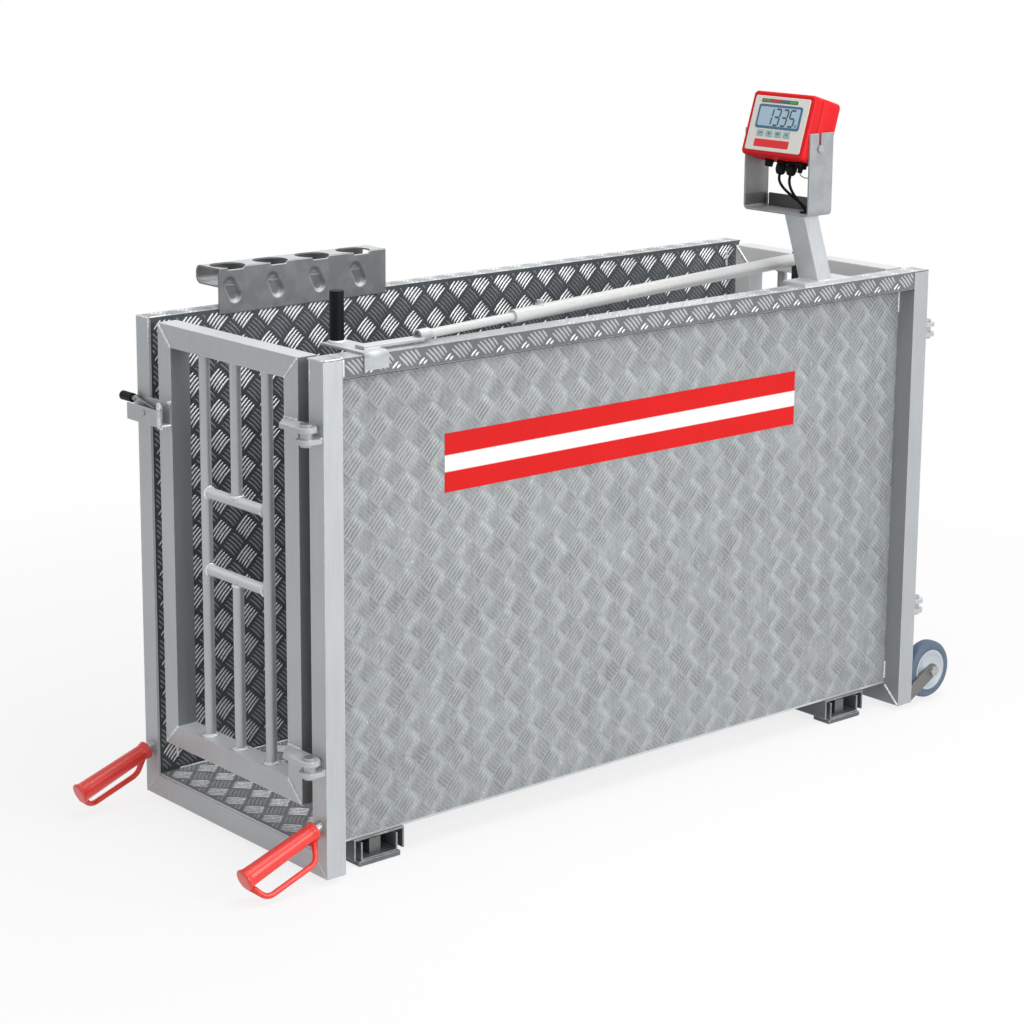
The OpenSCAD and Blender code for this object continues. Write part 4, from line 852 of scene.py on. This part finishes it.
def rack_push(x, z):
    """Depth of the slanted dents pressed into the front sheet."""
    slant, reach, push = radians(27), 24.0, 0.0
    ax, az = sin(slant), -cos(slant)
    for px in pockets:
        cx, cz = px - 14, RACK_Z - 31
        t = max(0.0, min(reach, (x - cx) * ax + (z - cz) * az))
        d = hypot(x - cx - ax * t, z - cz - az * t)
        e = max(0.0, min(1.0, (14 - d) / 5.5))
        push = max(push, 6.5 * e * e * (3 - 2 * e) * (0.55 + 0.45 * t / reach))
    return push


bm = bmesh.new()
nx, nz, sheet_foot, sheet_t = 192, 44, 900, 3
grid = {}
for side in (0, 1):
    for i in range(nx + 1):
        x = RACK_X + RACK_L * i / nx
        top = rack_top(x)
        for k in range(nz + 1):
            z = sheet_foot + (top - sheet_foot) * k / nz
            grid[side, i, k] = bm.verts.new(W(x, RACK_Y + rack_push(x, z) + sheet_t * side, z))
quads = [((s, i, k), (s, i + 1, k), (s, i + 1, k + 1), (s, i, k + 1))
         for i in range(nx) for k in range(nz) for s in (0, 1)]
quads += [((0, i, k), (0, i + 1, k), (1, i + 1, k), (1, i, k)) for i in range(nx) for k in (0, nz)]
quads += [((0, i, k), (0, i, k + 1), (1, i, k + 1), (1, i, k)) for k in range(nz) for i in (0, nx)]
for quad in quads:
    bm.faces.new([grid[key] for key in quad])
true_normals(bm)
o = new_object("rack_front", bm, galv, "crate", lambda p: abs(p.normal.y) > 0.4)
dress(tray, galv, "crate")
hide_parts("marker_rack")

# slide: a folded saddle with an inner guide, and the weld of its grip
lo, hi = mm_box("slide_saddle")
GUIDE_Y = (43.3, 47.3)
saddle_z = hi.z
saddle = extruded(folded([(hi.y, hi.z - 2), (lo.y + 2, hi.z - 2), (lo.y + 2, lo.z)], 4.0, 7.0), lo.x, hi.x,
                  "saddle_plate")
guide = extruded([(GUIDE_Y[0], hi.z - 4.2), (GUIDE_Y[1], hi.z - 4.2), (GUIDE_Y[1], lo.z), (GUIDE_Y[0], lo.z)],
                 lo.x, hi.x, "saddle_guide")
for o in (saddle, guide):
    dress(o, saddle_mat, "slide", lambda p: abs(p.normal.x) < 0.5 and p.area < 2e-4)
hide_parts("slide_saddle")
lo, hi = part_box("slide_grip")
bm = bmesh.new()
revolve(bm, [(11, 0), (15.2, 0.4), (14.8, 2.6), (12.8, 3.8), (11.2, 4)], 40,
        move(((lo.x + hi.x) / 2, (lo.y + hi.y) / 2, W(0, 0, saddle_z).z)), closed=True)
new_object("grip_weld", bm, weld, "slide")

# flat bar with the socket that turns and rises with the push rod
ROD_X, ROD_Y, ROD_Z, BAR_Z, BAR_HALF = 234.0, 30.0, 923.5, 915.3, 12.5
bar_x = mm_box("slide_bar")[0].x
rod_turn = atan2(150 - ROD_Y, 1295 - ROD_X)
rod_rise = atan2(12.5 * cos(rod_turn), 1265 - ROD_X)
rod_axis = move(W(ROD_X, ROD_Y, ROD_Z)) @ turn(rod_turn, "Z") @ turn(-rod_rise, "Y") @ turn(QUARTER, "Y")
bm = bmesh.new()
bm_box(bm, W(bar_x, ROD_Y - BAR_HALF, BAR_Z), W(ROD_X - 6, ROD_Y + BAR_HALF, BAR_Z + 6), 0.0012)
revolve(bm, [(8.1, -14), (10.2, -14), (11, -13), (11, 12), (10.2, 13.5), (8.1, 13.5)], 40, rod_axis, closed=True)
bead(bm, (ROD_X - 8, ROD_Y - 9, BAR_Z + 6), (ROD_X - 8, ROD_Y + 9, BAR_Z + 6), 2.2)
bead(bm, (bar_x + 34, ROD_Y - 12.8, BAR_Z + 0.5), (bar_x, ROD_Y - 12.8, BAR_Z + 0.5), 1.8)
o = new_object("slide_flat_bar", bm, saddle_mat, "slide", lambda p: p.area < 2e-5)
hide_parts("slide_bar")

# indicator bracket: a U with slotted arms, painted shade on its left arm's inner face, and the folded back edge in
# a darker, shaded copy of the galvanised finish (painted shade)
lo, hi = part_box("indicator_bracket")
(bx0, by0, bz0), (bx1, by1, bz1) = mm_box("indicator_bracket")
BRACKET_T = 4.0
mid_t = BRACKET_T / 2
bracket = extruded(folded([(by0 + mid_t, bz1), (by0 + mid_t, bz0 + mid_t), (by1 - mid_t, bz0 + mid_t),
                           (by1 - mid_t, bz1)], BRACKET_T, 9.0), bx0, bx1, "bracket_u")
grommet = sum(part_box("cable_grommet"), Vector()) / 2
slots = []
for y in (by0, by1):
    slots.append(cylinder_cutter(W(TILT_X, y, TILT_Z), (0, 1, 0), 3.5, 12, 32))
    slots.append(box_cutter(W(TILT_X - 3.5, y - 12, TILT_Z), W(TILT_X + 3.5, y + 12, bz1 + 5)))
slots.append(cylinder_cutter((grommet.x, grommet.y, lo.z), (0, 0, 1), 11, 10, 48))
cut(bracket, slots)
# painted shade on the left arm's inner face: darker towards the bottom, with a dark band along its lowest 28 mm;
# the noise on top is random tone
left_arm_shade = Mat("bracket_arm_shade", 0.45, 0.25)
height = left_arm_shade.xyz()[2]
painted_fade = left_arm_shade.mul(left_arm_shade.remap(height, lo.z + 0.028, lo.z + 0.030, 0.42, 0.68),
                    left_arm_shade.remap(height, lo.z, lo.z + 0.11, 0.95, 1.15))
stain = left_arm_shade.remap(left_arm_shade.noise(30, 3, 0.6), 0.3, 0.7, 0.9, 1.1)
left_arm_shade.finish(left_arm_shade.shade(srgb("#9C9FA0"), left_arm_shade.mul(painted_fade, stain)))
bracket.data.materials.clear()
dress(bracket, galv_light, "crate")
bracket.data.materials.append(left_arm_shade.m)
for p in bracket.data.polygons:
    p.material_index = int(p.normal.y < -0.9 and p.center.y > W(0, by1 - 6, 0).y)
bm = bmesh.new()
bm_box(bm, W(bx1 - BRACKET_T, by0 + 9, bz0 + 1), W(bx1, by1 - 9, bz0 + 28), 0.0012)
for y in (by1 - 6, by0 + 6):
    bead(bm, (bx1 - 4.5, y, bz0 + 6), (bx1 - 4.5, y, bz0 + 26), 2.8)
o = new_object("bracket_back", bm, galv_back, "crate", False)
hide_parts("indicator_bracket")
bm = bmesh.new()
for sgn, y in ((-1, by0), (1, by1)):
    seat = move(W(TILT_X, y, TILT_Z)) @ turn(-sgn * QUARTER, "X")
    revolve(bm, [(3, 0), (7.4, 0), (7.4, 1), (3, 1.1)], 40, seat)
    revolve(bm, [(5.8, 1), (6.2, 1.4), (6.2, 3), (5.2, 3.7), (0.2, 3.7)], 6, seat)
new_object("tilt_nuts", bm, cell_metal, "indicator", smooth=False)

# a dark strip under the lip that stands in for its shadow (painted shadow), and the welds at the tops of the posts
# and at the far frame's mitres
bm = bmesh.new()
bm_box(bm, W(41.5, 0.5, 874.4), W(1458.5, 2.8, 876.1), 0.0005, 1)
new_object("lip_shadow_strip", bm, lip_shadow_paint, "crate", smooth=False)
bm = bmesh.new()
for a, b, w in (
        ((41.5, 0.4, 879), (41.5, 0.4, 909), 2.6), ((41.5, 3, 911), (41.5, 38, 911), 2.2),
        ((0.2, 37, 872), (0.2, 37, 908), 1.8), ((3, 0.3, 910.5), (38, 0.3, 910.5), 1.4),
        ((0.4, 3, 910.4), (0.4, 37, 910.4), 1.8), ((0.4, 523, 910.4), (0.4, 557, 910.4), 1.8),
        ((0.2, 521, 862), (0.2, 521, 908), 2), ((3, 520.5, 910.8), (38, 520.5, 910.8), 1.8),
        ((1459.2, 39.2, 62), (1459.2, 39.2, 98), 2.8), ((1459.2, 39.2, 824), (1459.2, 39.2, 868), 2.6),
        ((1459.4, 2, 13), (1459.4, 38, 49), 2.6)):
    bead(bm, a, b, w)
new_object("post_welds", bm, weld, "crate")


# -------- wheels
def both_sides(profile):
    """The profile of one side, out to in, and its mirror image."""
    return [(r, -h) for r, h in profile] + profile[::-1]


def wheel(side):
    lo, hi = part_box(side + "_tyre")
    m = move((lo + hi) / 2) @ turn(-QUARTER, "X")
    R, seat, h = 59.8, 42.1, 14.9
    bm = bmesh.new()
    revolve(bm, both_sides([(seat, h * 0.92), (seat + 4, h), (R - 8, h), (R - 3.5, h * 0.86),
                            (R - 0.8, h * 0.6), (R, h * 0.3)]), 96, m, closed=True)
    o = new_object(side + "_tyre_tread", bm, tyre_mat, side + "_wheel")
    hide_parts(side + "_tyre")
    bm = bmesh.new()
    revolve(bm, both_sides([(6.2, 14.8), (13.5, 14.8), (15, 14), (16, 10.5), (24, 8.8), (33, 9.4), (36.5, 12.8),
                            (38.5, 14.2), (42, 14.2)]), 96, m, closed=True)
    o = new_object(side + "_hub_disc", bm, hub_mat, side + "_wheel")
    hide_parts(side + "_hub")


wheel("right")
wheel("left")

# -------- indicator
PX = -38.5  # the panel's plane, and its left top corner
PANEL_Y, PANEL_Z = 150, 53


def in_case(x, y, z):
    """The indicator's own frame in mm to the row frame."""
    return IND @ (Vector((x, y, z)) / 1000)


def case_box(bm, lo, hi, bevel=0.0, seg=2, matrix=IND):
    bm_box(bm, Vector(lo) / 1000, Vector(hi) / 1000, bevel, seg, matrix)


def rounded_loop(bm, x, y0, y1, z0, z1, rad, inset, steps, squeeze=0.0):
    """Vertices of a rounded rectangle at x in the indicator's frame."""
    cy, cz = (y0 + y1) / 2, (z0 + z1) / 2
    loop = []
    for y, z, start in ((y1 - rad, z1 - rad, 0), (y0 + rad, z1 - rad, 90), (y0 + rad, z0 + rad, 180),
                        (y1 - rad, z0 + rad, 270)):
        for k in range(steps + 1):
            a = radians(start + 90 * k / steps)
            py, pz = y + (rad - inset) * cos(a), z + (rad - inset) * sin(a)
            loop.append(bm.verts.new(in_case(x, py + (cy - py) * squeeze, pz + (cz - pz) * squeeze)))
    return loop


def on_panel(u0, u1, v0, v1, name, mat, x0=PX, thick=0.6, rad=0.0):
    """A thin piece on the panel: u from the panel's left edge, v down from its top, in mm."""
    y0, y1, z0, z1 = PANEL_Y - u1, PANEL_Y - u0, PANEL_Z - v1, PANEL_Z - v0
    bm = bmesh.new()
    if rad:
        skin(bm, [rounded_loop(bm, x0 - thick * part, y0, y1, z0, z1, rad, 0.0, 5, squeeze)
                  for part, squeeze in ((0.0, 0.0), (0.7, 0.0), (1.0, 0.015))])
        true_normals(bm)
    else:
        case_box(bm, (x0 - thick, y0, z0), (x0, y1, z1))
    return new_object(name, bm, mat, "indicator", smooth=False)


def shell(name, node, layers):
    """A housing half: rounded loops at each (x, inset)."""
    bm = bmesh.new()
    skin(bm, [rounded_loop(bm, x, 0.0, CASE_W, -CASE_H / 2, CASE_H / 2, 9, inset, 6) for x, inset in layers])
    true_normals(bm)
    o = new_object(name, bm, red_shell, "indicator", lambda p: len(p.vertices) < 10)
    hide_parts(node)


shell("indicator_front_shell", "indicator_front", [
    (-37.5, 4.2), (-36.3, 1.8), (-34, 0.3), (-31.5, 0), (-15.9, 0), (-14.9, 0.6), (-13.7, 1.8)])
shell("indicator_back_shell", "indicator_back", [
    (-13.3, 1.8), (-12.1, 0.6), (-11.1, 0), (30.5, 0), (33.5, 0.6), (36, 2.2), (37.5, 5)])

o = on_panel(0.5, 140.5, 0.5, 105.5, "panel_border", panel, PX + 1.2, 1.4, rad=4)
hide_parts("indicator_panel")
o = on_panel(14.5, 126.5, 16.5, 62.5, "lcd_bezel", lcd_frame, PX, 1, rad=5)
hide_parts("display")
on_panel(19.5, 121.5, 21.2, 58, "lcd_glass", lcd, PX - 0.9, 0.4, rad=3)

# digits: the segments that are on, each as a line across the digit's box
SEGMENTS = {"1": "bc", "3": "abgcd", "5": "afgcd"}
DIGIT_W, DIGIT_H, STROKE, SLANT = 12.8, 31, 3, 0.10
DIGIT_X, DIGIT_V = PX - 1.4, 24.5


def digit(bm, ch, u0):
    g, mid = STROKE * 0.2, DIGIT_H / 2
    lines = {"a": (g, 0, DIGIT_W - g, 0), "b": (DIGIT_W, g, DIGIT_W, mid - g),
             "c": (DIGIT_W, mid + g, DIGIT_W, DIGIT_H - g), "d": (g, DIGIT_H, DIGIT_W - g, DIGIT_H),
             "f": (0, g, 0, mid - g), "g": (g, mid, DIGIT_W - g, mid)}
    for s in SEGMENTS[ch]:
        au, av, bu, bv = lines[s]
        a = Vector((au + (mid - av) * SLANT, av))
        b = Vector((bu + (mid - bv) * SLANT, bv))
        d = (b - a).normalized()
        n = Vector((-d.y, d.x)) * STROKE / 2
        a2, b2 = a + d * STROKE * 0.45, b - d * STROKE * 0.45
        skin(bm, [[bm.verts.new(in_case(x, PANEL_Y - u0 - p.x, PANEL_Z - DIGIT_V - p.y))
                   for p in (a, a2 + n, b2 + n, b, b2 - n, a2 - n)] for x in (DIGIT_X, DIGIT_X - 0.2)])


bm = bmesh.new()
for i, ch in enumerate("1335"):
    digit(bm, ch, 41 + i * 19)
# the unit mark
case_box(bm, (DIGIT_X - 0.2, PANEL_Y - 118, PANEL_Z - 56), (DIGIT_X, PANEL_Y - 115.5, PANEL_Z - 50.5))
true_normals(bm)
new_object("lcd_digits", bm, segment, "indicator", smooth=False)

on_panel(18, 110, 6, 12.8, "led_window", led_dark, PX, 0.7, rad=1)
for i, (a, b, tint, col) in enumerate(((21, 43, "olive", "#8A8442"), (45, 67, "red", "#E52A33"),
                                       (69, 86, "blue", "#5A6A8E"), (89, 107, "green", "#35B04A"))):
    w = (b - a) / 4
    mat = plastic("led_" + tint, col, 0.3)
    for k in range(4):
        on_panel(a + k * w + 0.4, a + (k + 1) * w - 0.4, 7.4, 11.4, f"led_{i}_{k}", mat, PX - 0.6, 0.4)
on_panel(21.5, 110, 83.5, 98.5, "plain_label", label_red, PX, 0.4, rad=1)

# keys with rounded tops and one plain mark each: bars as (y0, y1, z0, z1) from the key's centre line
KEY_X, SIGN_T = PX - 1.4, 0.2
SIGNS = (
    [(-5, 5, -19.3, -17.7)],
    [(-3.5, 3.5, -19.3, -17.7), (-0.8, 0.8, -22, -15)],
    [(d - 0.8, d + 0.8, -21, -16) for d in (-3, 0, 3)],
    [(-3.5, 3.5, -17.5, -16.3), (-3.5, 3.5, -20.5, -19.3)])
for i, sign in enumerate(SIGNS):
    lo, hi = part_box(f"key_{i + 1}")
    cy = (IND.inverted() @ ((lo + hi) / 2)).y * 1000
    bm = bmesh.new()
    case_box(bm, (KEY_X, cy - 9, -24.5), (-34.5, cy + 9, -12.5), 0.0007)
    o = new_object(f"key_cap_{i + 1}", bm, key_mat, f"button_{i + 1}", smooth=False)
    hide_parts(f"key_{i + 1}")
    bm = bmesh.new()
    for y0, y1, z0, z1 in sign:
        case_box(bm, (KEY_X - SIGN_T, cy + y0, z0), (KEY_X, cy + y1, z1))
    new_object(f"key_sign_{i + 1}", bm, key_mark, f"button_{i + 1}", smooth=False)

# housing screws at the back corners
bm = bmesh.new()
for y in (12, 147):
    for z in (-50, 50):
        revolve(bm, [(3.5, 0), (3.5, 0.6), (2.8, 1.2), (0.8, 1.3)], 24,
                IND @ move(Vector((37.4, y, z)) / 1000) @ turn(QUARTER, "Y"))
new_object("back_screws", bm, zinc, "indicator")

# under the case: two cable glands (nut, ribbed body and domed cap), a plug and the capped connector
GX = 4
GYS = (CASE_W * 0.36, CASE_W * 0.53)


def under_case(x, y):
    """Frame of a fitting under the case, its z pointing down."""
    return IND @ move(Vector((x, y, -CASE_H / 2)) / 1000) @ turn(pi, "X")


bm = bmesh.new()
for y in GYS:
    base = under_case(GX, y)
    revolve(bm, [(11.2, 0), (11.2, 4.5), (10.4, 5.2), (9.6, 5.6)], 6, base)
    revolve(bm, [(9.2, 5.5), (9.8, 6.8), (10, 15), (9.4, 20), (7.5, 23.8), (5.2, 25.6), (3.1, 25.8)], 40, base)
    ribs = 16
    for k in range(ribs):
        case_box(bm, (9, -0.8, 7.2), (10.4, 0.8, 17.5), 0.0004, 1, base @ turn(2 * pi * k / ribs, "Z"))
revolve(bm, [(9.8, 0), (9.8, 3), (8.2, 3.6), (8, 11), (6.8, 12.8), (1, 13)], 36, under_case(GX, CASE_W * 0.74))
revolve(bm, [(12, 0), (12, 4), (10.8, 4.8), (10.8, 10.5), (5, 11.5), (4.5, 19), (1, 19.2)], 36,
        under_case(GX - 4, CASE_W * 0.20))
o = new_object("gland_bodies", bm, black, "indicator")
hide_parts("cable_glands")

# the strap of the capped connector
bm = bmesh.new()
strap = [(0, 31.8, -80), (2, 29, -85), (7, 21, -88), (13, 13, -85), (17, 8.5, -76), (18, 8, -61)]
pts = smooth_path([in_case(*v) for v in strap], 40)
tube(bm, pts, [0.0009] * len(pts), 10)
new_object("connector_strap", bm, rubber, "indicator")

# leads: two smooth cables from the glands into the grommet
lo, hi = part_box("cable_grommet")
gc = (lo + hi) / 2
for i, gy in enumerate(GYS):
    start, out = (in_case(GX, gy, -CASE_H / 2 - below) for below in (18, 28))
    foot = Vector((gc.x + (-1, 1)[i] * 0.0029, gc.y, hi.z + 0.001))
    pull_a = out + (out - start).normalized() * 0.026
    pull_b = foot + Vector((-0.002, 0.017, 0.019))
    arc = []
    for k in range(11):
        f = k / 10
        arc.append(out * (1 - f) ** 3 + pull_a * 3 * f * (1 - f) ** 2 + pull_b * 3 * f * f * (1 - f)
                   + foot * f ** 3)
    bm = bmesh.new()
    pts = smooth_path([start] + arc + [Vector((foot.x, foot.y - 0.001, lo.z + 0.001))], 60)
    tube(bm, pts, [0.0027] * len(pts), 14)
    o = new_object(f"indicator_lead_{i + 1}", bm, rubber, None)
    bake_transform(o)
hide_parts("indicator_leads")

# grommet with a rounded flange
bm = bmesh.new()
revolve(bm, [(6, 0), (10.7, 0), (10.7, 4.2), (13.3, 4.4), (13.5, 5.6), (12.5, 6.8), (7.2, 7), (6, 6.2)], 40,
        move((gc.x, gc.y, lo.z)), closed=True)
o = new_object("grommet_ring", bm, rubber, "crate")
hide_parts("cable_grommet")

# -------- stage and light
bpy.ops.mesh.primitive_plane_add(size=40, location=(0, 0, -0.0005))
floor = bpy.context.object
floor.name = "floor"
fm = Mat("floor_pale", 0.9, 0.0, (0.93, 0.93, 0.93))
rays = fm.node("LightPath").outputs
glow = fm.node("Emission", (("Strength", 1.0), ("Color", (1, 1, 1, 1)))).outputs[0]
seen = fm.add(rays["Is Camera Ray"], rays["Is Glossy Ray"], clamp=True)
x, y, _ = fm.xyz()
away = fm.math("SQRT", fm.add(fm.mul(x, x), fm.mul(y, y)))
shown = fm.mul(seen, fm.remap(away, 1.0, 2.4, 0.80, 1.0))
fm.put(fm.out.inputs[0], fm.mix_shaders(shown, fm.b.outputs[0], glow))
floor.data.materials.append(fm.m)

world = bpy.data.worlds.new("studio")
bpy.context.scene.world = world
world.use_nodes = True
wt = Tree(world.node_tree)
rays = wt.node("LightPath").outputs
seen = wt.add(wt.add(rays["Is Camera Ray"], rays["Is Glossy Ray"]), rays["Is Transmission Ray"], clamp=True)
dim, bright = (wt.node("Background", ((0, (1, 1, 1, 1)), (1, strength))).outputs[0] for strength in (0.40, 1.0))
wt.node("OutputWorld", ((0, wt.mix_shaders(seen, dim, bright)),))


def area(name, loc, target, size, power):
    light = bpy.data.lights.new(name, "AREA")
    light.shape = "RECTANGLE"
    light.size, light.size_y = size
    light.energy = power
    o = linked(name, light)
    o.location = loc
    o.rotation_euler = (Vector(target) - Vector(loc)).normalized().to_track_quat("-Z", "Y").to_euler()


area("top_soft", (0.4, -0.6, 3.6), (0, 0, 0.4), (3.2, 2.4), 70)
area("right_soft", (0.3, -4.0, 1.9), (0, 0, 0.45), (3.0, 2.0), 88)

bpy.context.scene.view_settings.view_transform = "Standard"
